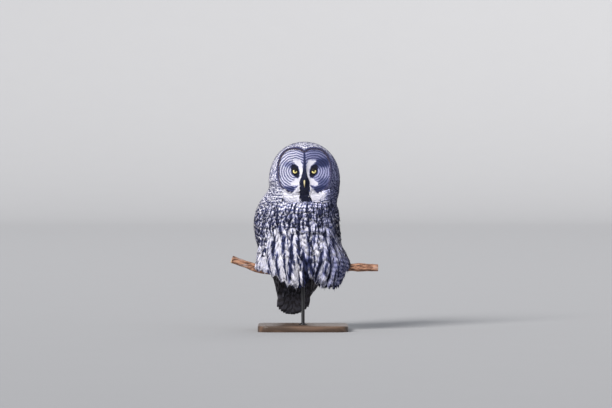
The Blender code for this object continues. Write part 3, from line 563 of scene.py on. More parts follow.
def leaf_local(f, u, v, kind):
    """A feather's own step along, sideways step and lift. It bends by the square of v, rises with
    v, curls by its cube and is cambered by the square of u."""
    wide = column(f["width"]) / 2 * outline(kind, v)
    along = column(f["length"]) * v
    side = u * wide + column(f["bend"]) * v**2 * column(f["length"])
    lift = column(f["lift"]) + column(f["rise"]) * v + column(f["curl"]) * v**3
    return along, side, lift - column(f["camber"]) * u**2


def strands(coat, lay, f, dice, count, kind, wide, over, start=0.12, reach=1.10):
    """Narrow tapered barbs over each feather. Each leaves the shaft near the root and bends out to
    its own share u of the width by a smooth step, and ends at its own share v of the length."""
    feathers = len(f["length"])
    shape = (feathers, count)
    ends = np.linspace(-0.95, 0.95, count) + dice.uniform(-0.5, 0.5, shape) / count
    first = start + 0.22 * dice.random(shape)
    last = reach - 0.16 * np.abs(ends) - 0.22 * dice.random(shape)
    t = np.array([0.0, 0.36, 0.72, 1.0])[None, None, :]
    v = first[..., None] + (last - first)[..., None] * t
    u = ends[..., None] * (0.25 + 0.75 * smooth(t * 1.3))
    each = {key: np.repeat(value, count, 0) for key, value in f.items()}
    v, u = v.reshape(-1, 4, 1), u.reshape(-1, 4, 1)
    along, middle, lift = leaf_local(each, u, np.minimum(v, 1.0), kind)
    along = column(each["length"]) * v
    cross = np.array([-1.0, 0.0, 1.0])[None, None, :]
    taper = np.array([0.5, 1.0, 0.75, 0.12])[None, :, None]
    half = wide / 2 * taper * dice.uniform(0.75, 1.25, (len(v), 1, 1))
    side = middle + cross * half
    proud = over * dice.uniform(0.5, 1.4, (len(v), 1, 1))
    lift = lift + proud * np.array([0.2, 1, 1, 0.8])[None, :, None] - 0.0002 * cross**2
    along = np.broadcast_to(along, side.shape)
    top = lay(each, along, side, lift)
    under = lay(each, along[INNER], side[INNER], lift[INNER] - 0.0004)
    u = np.clip(u + cross * 0.06, -1, 1)
    v = np.broadcast_to(np.minimum(v, 1.0), u.shape)
    coat.add(top, under, u, v, each["spot"], each["marks"], each["form"])


def plumed(name, finish, lay, f, dice, leaf, strand, slot, *nodes, tint=None, firm=0.15):
    """One piece of plumage: a leaf for each feather and narrow barbs over it. leaf and strand are
    the last arguments of leaves and strands."""
    coat = Coat(tint)
    leaves(coat, lay, f, dice, *leaf)
    strands(coat, lay, f, dice, *strand)
    settle(coat.piece(name, feather_finish(finish, firm=firm)), slot, *nodes)


def four(*values):
    return np.stack(np.broadcast_arrays(*[np.asarray(v, float) for v in values]), -1)


def feathers(a, b, heading, length, width, spot, marks, form, lift, rise, camber, curl, bend):
    """The fields of a set of feathers as equal arrays. Marks are tone, shaft streak, bars and seed,
    and form is bars in sixteenths, pale spots and brown tinge."""
    count = len(a)
    f = dict(a=a, b=b, heading=heading, length=length, width=width, lift=lift)
    f.update(rise=rise, camber=camber, curl=curl, bend=bend)
    f = {key: np.broadcast_to(np.asarray(v, float), (count,)).copy() for key, v in f.items()}
    f["spot"] = spot
    f["marks"], f["form"] = [np.broadcast_to(four(*v), (count, 4)) for v in (marks, (*form, 1))]
    return f


def chosen(f, mask):
    return {key: value[mask] for key, value in f.items()}


def rotated(angle, along, side):
    """A step along and sideways, turned by an angle."""
    c, s = np.cos(angle), np.sin(angle)
    return along * c - side * s, along * s + side * c


def on_hull(f, along, side, lift, surface=hull):
    """Down the body from the root: heading turns the step from straight down to the bird's left."""
    down, left = rotated(column(f["heading"]), along, side)
    return surface(column(f["a"]) - down, column(f["b"]) + left / column(f["radius"]), lift)


def on_mantle(f, along, side, lift):
    """The same on the sheet of the folded wings."""
    return on_hull(f, along, side, lift, mantle)


def on_head(f, along, side, lift):
    """Away from the face over the crown, the cheeks and the nape, in the head's own two turns."""
    a, b = column(f["a"]), column(f["b"])
    turn = a + along / 0.088
    around = b + side / (HEAD_HALF_WIDTH * np.clip(np.sin(a), 0.2, 1))
    return head_surface(np.clip(turn, 0.05, 3.1), around, lift)


def on_disc(f, along, side, lift):
    """Outwards from the eye along its own ray, on the dished face."""
    x, z = rotated(column(f["b"]), column(f["a"]) + along, side)
    return face_point(column(f["eye"]) * (EYE_SPACING / 2 + x), z, lift)


def on_tail(f, along, side, lift):
    """Along the tail from a share of its length, spreading with its flare."""
    share = column(f["a"]) + along / TAIL_LENGTH
    aside = column(f["b"]) * (0.012 + TAIL_FLARE * share) + side
    return tail_points(share, aside, column(f["face"]) * lift + column(f["deck"]))


def rows_on_hull(dice, top, bottom, spacing, low, high, stagger=0.5, squeeze=0.82):
    """Roots in level rows round the body. spacing gives the distance between columns by height."""
    z, heights = top, []
    while z > bottom:
        heights.append(z)
        z -= squeeze * spacing(z)
    a, b = [], []
    for k, z in enumerate(heights):
        start, end = low(z), high(z)
        count = max(int(round((end - start) * 0.1 / spacing(z))), 1)
        turns = start + (end - start) * (np.arange(count) + 0.25 + stagger * (k % 2)) / count
        b.append(turns)
        a.append(np.full(count, z))
    a, b = np.concatenate(a), np.concatenate(b)
    step = np.array([spacing(z) for z in a])
    a = a + dice.uniform(-0.22, 0.22, len(a)) * step
    b = b + dice.uniform(-0.22, 0.22, len(a)) * step / 0.1
    return a, b, step


def growing(base, more, high, reach):
    """A spacing by height: base above high, and more by a smooth step over reach below it."""
    return lambda z: base + more * float(smooth((high - z) / reach))


def wing_edge(shift):
    """The turn of the folded wing's leading edge by height, shifted by degrees."""
    return lambda z: math.radians(float(spline(WING_LEAD, z)[0]) + shift)


def level(degrees):
    """The same turn at every height."""
    return lambda z: math.radians(degrees)


def hull_spot(a, b):
    """A root's place on the unrolled body: turn across and height up."""
    turn = (b + math.pi) % (2 * math.pi) / (2 * math.pi)
    return np.stack([0.01 + 0.98 * turn, 0.02 + 0.96 * (a + 0.12) / 0.40], -1)


def head_spot(a, b):
    """A root's place on the head's skin, laid out flat round the middle of the face."""
    return np.stack([0.5 + 0.155 * a * np.cos(b), 0.5 + 0.155 * a * np.sin(b)], -1)


def on_face(points):
    """How far points lie across and up from the point between the eyes."""
    return points[:, 0] - HEAD_X, points[:, 2] - EYE_HEIGHT


def patches(x, z, size, seed):
    """A slow, even field from 0 to 1: a mean of sines of both coordinates, each size long."""
    total = 0
    for k in range(5):
        turn, shift = seed * 1.7 + k * 2.4, seed * 3.1 + k * 1.9
        across = x * math.cos(turn) + z * math.sin(turn)
        total = total + np.sin(across * 6.283 / size * (1 + 0.3 * k) + shift)
    return 0.5 + 0.5 * total / 5 * 1.6


# Finishes


class Value:
    """A number that varies over a surface. Arithmetic on it adds Math nodes."""

    def __init__(self, finish, socket):
        self.finish, self.socket = finish, socket

    def math(self, operation, *others, first=None):
        terms = (self, *others) if first is None else (first, self)
        node = self.finish.node("ShaderNodeMath", {"operation": operation}, dict(enumerate(terms)))
        return Value(self.finish, node.outputs[0])

    def __add__(self, other):
        return self.math("ADD", other)

    def __sub__(self, other):
        return self.math("SUBTRACT", other)

    def __rsub__(self, other):
        return self.math("SUBTRACT", first=other)

    def __mul__(self, other):
        return self.math("MULTIPLY", other)

    def __truediv__(self, other):
        return self.math("DIVIDE", other)

    def __pow__(self, other):
        return self.math("POWER", other)

    __radd__ = __add__
    __rmul__ = __mul__

    def abs(self):
        return self.math("ABSOLUTE")

    def sin(self):
        return self.math("SINE")

    def most(self, other):
        return self.math("MAXIMUM", other)

    def step(self, low, high):
        """0 below low and 1 above high, smooth between; low may be the larger."""
        node = self.finish.node(
            "ShaderNodeMapRange",
            {"interpolation_type": "SMOOTHSTEP"},
            {"Value": self, "From Min": low, "From Max": high},
        )
        return Value(self.finish, node.outputs["Result"])


class Finish:
    """One material, its node tree and its Principled shader."""

    def __init__(self, name, **constants):
        self.material = bpy.data.materials.new(name)
        self.material.use_nodes = True
        self.tree = self.material.node_tree
        self.shader = self.tree.nodes["Principled BSDF"]
        for socket, value in constants.items():
            self.shader.inputs[socket.replace("_", " ")].default_value = value

    def node(self, kind, settings=None, sockets=None):
        """Adds a node of any type: its settings first, then its sockets' values or links."""
        node = self.tree.nodes.new(kind)
        for name, value in (settings or {}).items():
            if name == "stops":
                ramp = node.color_ramp
                while len(ramp.elements) < len(value):
                    ramp.elements.new(0.5)
                for element, (at, colour) in zip(ramp.elements, value):
                    element.position = at
                    element.color = (*colour, 1.0)
            else:
                setattr(node, name, value)
        for name, value in (sockets or {}).items():
            self.join(node.inputs[name], value)
        return node

    def join(self, socket, value):
        """Links a value to a socket, or sets the socket to a plain number or colour."""
        if isinstance(value, Value):
            value = value.socket
        if isinstance(value, bpy.types.NodeSocket):
            self.tree.links.new(value, socket)
        else:
            socket.default_value = value

    def feed(self, **sockets):
        for name, value in sockets.items():
            self.join(self.shader.inputs[name.replace("_", " ")], value)

    def split(self, vector, kind="XYZ"):
        """The three numbers of a vector or a colour."""
        node = self.node("ShaderNodeSeparate" + kind, None, {0: vector})
        return [Value(self, node.outputs[k]) for k in range(3)]

    def vector(self, x, y, z):
        return self.node("ShaderNodeCombineXYZ", None, {0: x, 1: y, 2: z}).outputs[0]

    def place(self):
        """Object coordinates: the vector and its three numbers."""
        socket = self.node("ShaderNodeTexCoord").outputs["Object"]
        return socket, self.split(socket)

    def noise(self, vector, scale, detail=2.0, roughness=0.5):
        sockets = {"Vector": vector, "Scale": scale, "Detail": detail, "Roughness": roughness}
        return Value(self, self.node("ShaderNodeTexNoise", None, sockets).outputs["Fac"])

    def mix(self, share, a, b):
        """A colour between two colours."""
        node = self.node("ShaderNodeMix", {"data_type": "RGBA"})
        self.join(node.inputs[0], share)
        self.join(node.inputs[6], a if not isinstance(a, tuple) else (*a, 1.0))
        self.join(node.inputs[7], b if not isinstance(b, tuple) else (*b, 1.0))
        return node.outputs[2]

    def ramp(self, value, *stops):
        return self.node("ShaderNodeValToRGB", {"stops": stops}, {0: value}).outputs[0]

    def raise_by(self, height, distance, strength=1.0):
        sockets = {"Height": height, "Distance": distance, "Strength": strength}
        self.feed(Normal=self.node("ShaderNodeBump", None, sockets).outputs[0])

    def speckle(self, scale, detail, dark, light, height):
        """One noise gives both the colour, between two colours, and the bumps."""
        grain = self.noise(self.place()[0], scale, detail)
        self.feed(Base_Color=self.mix(grain, dark, light))
        self.raise_by(grain, height)


def grey_scale(finish, tone, warm=None):
    """Tone to colour, from the darkest feathers through slate and pale grey to white. The cold
    greys of the front, a painted cast of cold light, turn by depth, in Object coordinates, to
    the plain greys of the back."""
    s = bpy.context.scene.owl_plumage
    cold = [np.array(colour) for colour in (s.dark, s.slate, s.pale, s.white)]
    plain = [c + 0.75 * (c @ (0.25, 0.60, 0.15) * np.array((1.04, 1.0, 0.95)) - c) for c in cold]
    stops = (0.0, 0.34, 0.68, 1.0)
    front, rear = [
        finish.ramp(tone, *[(at, tuple(map(float, c))) for at, c in zip(stops, greys)])
        for greys in (cold, plain)
    ]
    _, (_, y, _) = finish.place()
    # Painted cold light on the front, plain greys at the back
    colour = finish.mix(y.step(-0.070, 0.045), front, rear)
    if warm is None:
        return colour
    return finish.mix(warm, colour, tuple(s.rust))


def feather_finish(name, rings=False, firm=0.15):
    """Shaft streaks, crossbars, pale spots and barbs, all in each feather's own coordinates. The
    barbs of a firm vane show, and those of a soft feather hardly."""
    finish = Finish(name, Roughness=0.78, Specular_IOR_Level=0.25)
    uv = finish.split(finish.node("ShaderNodeUVMap", {"uv_map": "Feather"}).outputs[0])
    marks = finish.node("ShaderNodeAttribute", {"attribute_name": "Marks"})
    form = finish.node("ShaderNodeAttribute", {"attribute_name": "Form"})
    pale, streak, bars = finish.split(marks.outputs["Color"], "Color")
    seed = Value(finish, marks.outputs["Alpha"])
    beat, spots, warm = finish.split(form.outputs["Color"], "Color")
    u = (uv[0] * 2 - 1).abs()
    v = uv[1]
    cloud = finish.noise(finish.vector(uv[0] * 3, v * 5, seed * 91), 1.0)
    hair = finish.noise(finish.vector(uv[0] * 17, v * 3.2, seed * 57), 1.0, 3.0)
    edge = u + (cloud - 0.5) * 0.5 + (hair - 0.5) * 0.5
    width = streak * (0.30 + 0.70 * v.step(0.15, 0.70))
    centre = edge.step(width + 0.10, width - 0.10) * streak.step(0.02, 0.10)
    wave = ((v * beat * 16 + (cloud - 0.5) * 0.7 + u * 0.25 + seed) * WAVE).sin()
    bar = wave.step(-0.1, 0.45) * (0.0 if rings else bars)
    spot = ((v * beat * 16 + seed * 0.3 - u * 0.3) * WAVE).sin().step(0.1, 0.6)
    spot = spot * u.step(0.20, 0.45) * spots
    tone = pale * (1 - 0.90 * centre) * (1 - 0.80 * bar)
    if rings:
        tone = disc_tone(finish, tone, hair, bars)
    tone = tone.most(spot * 0.92)
    barbs = ((v * 44 - u * 9 + hair * 2.0) * WAVE).sin()
    tone = tone * (0.78 + 0.44 * hair) * (1 - 0.08 * firm * barbs)
    # Darker towards each feather's root: partly the real dark down at its base, partly painted
    # shade where the feathers above overlap it
    tone = tone * (0.74 + 0.26 * v.step(0.0, 0.40))
    finish.feed(Base_Color=grey_scale(finish, tone, warm * (1 - centre) * 0.8))
    finish.raise_by(barbs * (0.5 * firm) + hair, 0.0006, 0.6)
    return finish.material


def disc_tone(finish, tone, hair, strength):
    """Concentric rings round both eyes, by the distance from each in Object coordinates."""
    _, (x, y, z) = finish.place()
    across = (x - HEAD_X).abs() - EYE_SPACING / 2
    up = z - EYE_HEIGHT
    away = (across * across + up * up) ** 0.5
    sway = finish.noise(finish.vector(x * 90, 0.0, z * 90), 1.0)
    phase = away / RING_SPACING + 0.5 + (sway - 0.5) * 0.9 + (hair - 0.5) * 0.6
    return tone * (1 - (phase * WAVE).sin().step(-0.15, 0.65) * strength)


def disc_marks_and_shade(points, marks):
    """Tone, with painted light and shade from one side of the face to the other, and ring
    strength at each point of the face. Ellipses and bands, in millimetres from the point
    between the eyes, each with a soft edge that every feather shifts by its own seed."""
    x, z = on_face(points)
    seed = marks[:, 3] - 0.5
    fx, fz = np.abs(x) * 1000 + seed * 1.6, z * 1000 + np.sin(seed * 40) * 1.0
    # left is 1 towards -X, where the key light falls, and 0 on the far side: the weight of the
    # painted light and shade below
    left = smooth((-x * 1000 + 30) / 60)
    high = smooth((fz - 2) / 30)
    # The ground of the disc, darker below its middle and at the outer side. Painted light and
    # shade: lighter on the lit side, with a higher floor there, and on the far side darker over
    # the upper half and the lower outer part.
    tone = 0.72 + 0.17 * left - 0.20 * (1 - left) * high
    tone = tone - 0.60 * smooth((-fz - 36) / 8) * smooth((fx - 22) / 8)
    tone = tone - 0.30 * (1 - left) * smooth((-fz - 10) / 16) * smooth((fx - 28) / 16)
    tone = np.maximum(tone, 0.25 + 0.12 * left)
    # The pale crescents and the white feathers beside the bib
    inner = 3.9 + 4.4 * ((fz + 2) / 27) ** 2
    outer = np.minimum(13.8 + 20 * (np.abs(fz) / 28) ** 1.7, np.where(fz > 0, 32, 37))
    crescent = smooth((fx - inner) / 1.6) * smooth((outer - fx) / 2.6)
    crescent = crescent * smooth((fz + 39) / 4) * smooth((33 - fz) / 6)
    boot = smooth((-fz - 40.5 - 0.95 * (fx - 17)) / 2.5) * smooth((fx - 11) / 2)
    white = np.maximum(crescent, boot)
    tone = tone + (1.2 - tone) * white
    # The black comma round the eye, widened above by a second ellipse that is partly the black
    # of the face and partly painted shadow under the brow, and the dark smudge over it: partly a
    # marking, and partly painted shade that makes it larger and darker on the far side
    ex, ez = fx - 24.3, fz - 1.0
    wide, tall = rotated(math.radians(21), ex, ez)
    comma_and_brow_shadow = smooth((1.10 - np.hypot(wide / 9.4, tall / 19.5)) / 0.17)
    comma_and_brow_shadow = np.maximum(comma_and_brow_shadow, smooth((1.10 - np.hypot((ex - 2.0) / 10.5, (ez - 8.5) / 8.0)) / 0.17))
    far = 1 - left
    aside, above = (ex - 18 - 6 * far) / (17 + 7 * far), (ez - 17 - 4 * far) / (9 + 6 * far)
    smudge_and_shade = smooth((1.2 - np.hypot(aside, above)) / 0.9) * (0.60 + 0.40 * far)
    # The dark band between the eyes and the line under the cheek
    band = 1000 * ridge_half(z) + 0.4
    middle = smooth((band - fx) / 1.6) * smooth((54 - fz) / 8)
    flare = bump(fz, -34.0 - 0.30 * fx, 2.4) * smooth((30 - fx) / 11)
    tone = tone * (1 - 0.85 * flare)
    tone = tone * (1 - 0.98 * comma_and_brow_shadow) * (1 - 0.62 * smudge_and_shade * (1 - white)) * (1 - 0.85 * middle)
    tinted = marks.copy()
    tinted[:, 0] = np.clip(tone, 0, 1.2)
    # Rings a little weaker on the far side: painted shade
    strength = 0.58 - 0.06 * (1 - left) + 0.14 * seed
    tinted[:, 2] = strength * (1 - white) * (1 - comma_and_brow_shadow) * (1 - middle)
    return tinted


def ridge_half(z):
    """Half the width of the dark band between the eyes, wider at each of two smooth steps."""
    return 0.0020 + 0.0026 * smooth((0.040 - z) / 0.050) + 0.0080 * smooth((-0.006 - z) / 0.026)


def muzzle_point(x, z, grow):
    """The face with a mound of bristles over the root of the bill: a bell down and one across that
    is as wide as the dark band."""
    mound = 0.0125 * bump(x, 0, 0.0005 + 0.85 * ridge_half(z)) * bump(z, -0.0185, 0.0105)
    return face_point(x, z, grow + mound)


def chin_marks(x, z, dice):
    """The black bib under the bill and the white patches either side of it, by place."""
    slant = 0.0012 + 0.0058 * smooth((-z - 0.055) / 0.025)
    fx, fz = np.abs(x - slant) * 1000, z * 1000
    fx = fx + dice.normal(0, 0.6, fx.shape)
    fz = fz + dice.normal(0, 1.0, fz.shape)
    bib = smooth((12.6 + 2.4 * smooth((-fz - 55) / 20) - fx) / 1.6) * smooth((fz + 80) / 5)
    patch = smooth((fz - 1000 * chin_line(x)) / 3) * smooth((np.where(x > 0, 50, 59) - fx) / 4)
    return bib, patch * (1 - bib)


def chin_line(x):
    """The lower edge of the white patches: level, and lifted by a fourth power of x."""
    return -0.076 + 0.019 * (np.abs(x) / 0.055) ** 4


# The violet-blue cast of these default greys is painted cold light; grey_scale keeps it on the
# front and turns it to plain greys towards the back
class OwlPlumage(bpy.types.PropertyGroup):
    white: bpy.props.FloatVectorProperty(
        name="White", description="The lightest feathers", subtype="COLOR",
        default=(0.90, 0.885, 0.98),
    )
    pale: bpy.props.FloatVectorProperty(
        name="Pale Grey", description="The ground of most feathers", subtype="COLOR",
        default=(0.43, 0.44, 0.69),
    )
    slate: bpy.props.FloatVectorProperty(
        name="Slate", description="The middle grey of bars and rings", subtype="COLOR",
        default=(0.060, 0.074, 0.215),
    )
    dark: bpy.props.FloatVectorProperty(
        name="Dark", description="Shaft streaks and the black of the face", subtype="COLOR",
        default=(0.009, 0.010, 0.026),
    )
    rust: bpy.props.FloatVectorProperty(
        name="Rust", description="The brown tinge, strongest on the face's rim", subtype="COLOR",
        default=(0.10, 0.062, 0.040),
    )
    density: bpy.props.FloatProperty(
        name="Density", description="How close the small feathers stand",
        default=1.0, min=0.5, max=1.3,
    )


class OwlStage(bpy.types.PropertyGroup):
    lens: bpy.props.FloatProperty(
        name="Lens", description="Focal length of the camera in millimetres", default=200.0
    )
    distance: bpy.props.FloatProperty(
        name="Distance", description="From the camera to the owl", default=9.01, unit="LENGTH"
    )
    elevation: bpy.props.FloatProperty(
        name="Elevation", description="How far the camera looks down", default=math.radians(0.8),
        subtype="ANGLE",
    )
    floor: bpy.props.FloatVectorProperty(
        name="Floor", description="Colour of the floor", subtype="COLOR", default=(0.36, 0.36, 0.37)
    )
    key: bpy.props.FloatProperty(
        name="Key Light", description="Strength of the main light", default=5.2, min=0.0
    )
    fill: bpy.props.FloatProperty(
        name="Fill Light", description="Strength of the side light and of that behind",
        default=0.45, min=0.0,
    )


class OwlPerch(bpy.types.PropertyGroup):
    bark: bpy.props.FloatVectorProperty(
        name="Bark", description="Main colour of the bark", subtype="COLOR",
        default=(0.17, 0.072, 0.040),
    )
    light: bpy.props.FloatVectorProperty(
        name="Worn Bark", description="Where the bark is rubbed or peeling", subtype="COLOR",
        default=(0.55, 0.30, 0.19),
    )
    wood: bpy.props.FloatVectorProperty(
        name="Base Wood", description="Wood of the display base", subtype="COLOR",
        default=(0.060, 0.036, 0.024),
    )


# Pieces


class OWL_OT_stage(bpy.types.Operator):
    """Lays the floor and sets the lights and the camera"""

    bl_idname = "owl.stage"
    bl_label = "Stage"

    def execute(self, context):
        s = context.scene.owl_stage
        finish = Finish("floor", Roughness=1.0, Specular_IOR_Level=0.0)
        socket, _ = finish.place()
        grain = finish.noise(socket, 6.0, 4.0)
        base = tuple(s.floor)
        finish.feed(Base_Color=finish.mix(grain * 0.3, base, tuple(c * 0.94 for c in base)))
        build("floor", *self.sweep(), finish.material)
        target = Vector((0.008, -0.06, 0.3385))
        for name, spot, strength, spread, colour in (
            ("key", (-2.4, -3.4, 2.6), s.key, 24, (1.0, 0.985, 0.96)),
            ("fill", (3.2, -3.0, 1.6), s.fill, 60, (0.90, 0.94, 1.0)),
            ("rim", (1.4, 3.0, 3.0), s.fill, 40, (1.0, 1.0, 1.0)),
        ):
            lamp = bpy.data.lights.new(name, "SUN")
            lamp.angle = math.radians(spread)
            lamp.energy = strength
            lamp.color = colour
            holder = linked(name, lamp)
            holder.location = spot
            holder.rotation_euler = (target - Vector(spot)).to_track_quat("-Z", "Y").to_euler()
        world = bpy.data.worlds.new("studio")
        world.use_nodes = True
        background = world.node_tree.nodes["Background"]
        background.inputs["Color"].default_value = (0.84, 0.87, 0.93, 1.0)
        background.inputs["Strength"].default_value = 0.62
        context.scene.world = world
        lens = bpy.data.cameras.new("camera")
        lens.lens = s.lens
        lens.sensor_width = 36.0
        camera = linked("camera", lens)
        back = Vector((0, -math.cos(s.elevation), math.sin(s.elevation)))
        camera.location = target + back * s.distance
        camera.rotation_euler = (-back).to_track_quat("-Z", "Y").to_euler()
        lens.clip_end = 200.0
        context.scene.camera = camera
        context.scene.view_settings.view_transform = "Standard"
        return {"FINISHED"}

    def sweep(self):
        """A level disc whose edge turns up through a quarter circle into a low wall, all round."""
        rise = np.radians(np.linspace(0, 90, 24))
        flat = np.array([0.05, 1.0, 3.0, 6.0, 9.0, 12.0])
        radii = np.concatenate([flat, 14.0 + 5.0 * np.sin(rise), [19.0]])[:, None]
        heights = np.concatenate([0 * flat, 5.0 * (1 - np.cos(rise)), [7.0]])[:, None]
        around = turns(96)[None, :]
        rings = np.stack([radii * np.cos(around), radii * np.sin(around), heights + 0 * around], -1)
        n, m = rings.shape[:2]
        k = np.arange(0, m, 2)
        middle = np.stack([np.full(len(k), n * m), k, k + 1, (k + 2) % m], 1)
        points = np.vstack([rings.reshape(-1, 3), [[0.0, 0.0, 0.0]]])
        return points, np.vstack([ring_quads(n, m)[:, [0, 3, 2, 1]], middle])


class OWL_OT_skin(bpy.types.Operator):
    """Makes the one skin under the plumage, from the crown to the toes and the root of the tail"""

    bl_idname = "owl.skin"
    bl_label = "Skin"

    def execute(self, context):
        turn = turns(72)
        heights = np.concatenate([np.linspace(0.004, 0.05, 12), np.linspace(0.056, 0.262, 42)])
        inset = 0.0075 + 0.034 * smooth((0.046 - heights) / 0.046)
        front = smooth(np.cos(turn + BODY_TURN) / 0.35)[None, :]
        front = front * smooth((heights - 0.184) / 0.018)[:, None]
        body = hull(heights[:, None], turn[None, :], -inset[:, None] - 0.026 * front)
        tilt = np.radians(np.concatenate([np.arange(4, 96, 3.0), np.arange(100, 176, 6.0)]))
        head = head_surface(tilt[:, None], turn[None, :], -0.0030)
        around = turns(24)
        t = np.linspace(-0.97, 0.97, 14)[:, None]
        size = np.sqrt(1 - t * t)
        aside = (RUMP_HALF_WIDTH - 0.002) * size * np.cos(around)
        lift = (RUMP_HALF_HEIGHT - 0.002) * size * np.sin(around) - RUMP_SINK
        share = np.broadcast_to(RUMP_MIDDLE + RUMP_REACH / TAIL_LENGTH * t, aside.shape)
        shapes = [closed(body), closed(head), closed(tail_points(share, aside, lift))]
        for side in (-1, 1):
            t = np.linspace(0, 1.30, 12)
            radii = (LEG_RADIUS - 0.004) * (1.0 - 0.30 * t)
            shapes.append(closed(tube_rings(leg_line(side, t), radii, 24, 1.1, DEEP)))
            for toe in TOES:
                line = toe_line(side * LEG_SPACING / 2, side, toe, 0, 1, 14)
                taper = np.interp(np.linspace(0, 1, 14), [0, 0.5, 0.9, 1], [0.92, 0.9, 0.82, 0.6])
                shapes.append(closed(tube_rings(line, TOE_RADIUS * taper, 16, 1.0, WIDE)))
        rough = build("skin_parts", *joined(shapes), skin_finish())
        remesh = rough.modifiers.new("whole", "REMESH")
        remesh.mode = "VOXEL"
        remesh.voxel_size = 0.0028
        remesh.use_smooth_shade = True
        graph = context.evaluated_depsgraph_get()
        mesh = bpy.data.meshes.new_from_object(rough.evaluated_get(graph))
        if len(mesh.polygons) < 5000:
            raise RuntimeError("the skin came out empty")
        mesh.name = "skin"
        skin = linked("skin", mesh)
        bpy.data.objects.remove(rough)
        nodes = ("head", "neck", "torso", "leg_left", "leg_right", "foot_left", "foot_right")
        settle(skin, "plumage_pale", *nodes)
        return {"FINISHED"}


def skin_finish():
    """Down over skin: slate, dark also as painted shade in the gaps between the feathers, paler
    in front, with the rings and the dark middle of the face.
    """
    finish = Finish("skin", Roughness=0.9)
    socket, (x, y, z) = finish.place()
    down = finish.noise(socket, 260.0, 3.0)
    slow = finish.noise(socket, 40.0, 2.0)
    # Dark slate: the real dark down, and painted shade for the gaps between the feathers
    tone = 0.22 + 0.22 * slow + 0.10 * down
    face = y.step(-0.050, -0.062) * z.step(0.34, 0.37)
    eye = (((x - HEAD_X).abs() - EYE_SPACING / 2) ** 2.0 + (z - EYE_HEIGHT) ** 2.0) ** 0.5
    tone = disc_tone(finish, tone + face * 0.12, down, face * 0.6)
    tone = tone * (1 - 0.95 * face * eye.step(0.016, 0.010))
    finish.feed(Base_Color=grey_scale(finish, tone))
    finish.raise_by(down, 0.0008)
    return finish.material


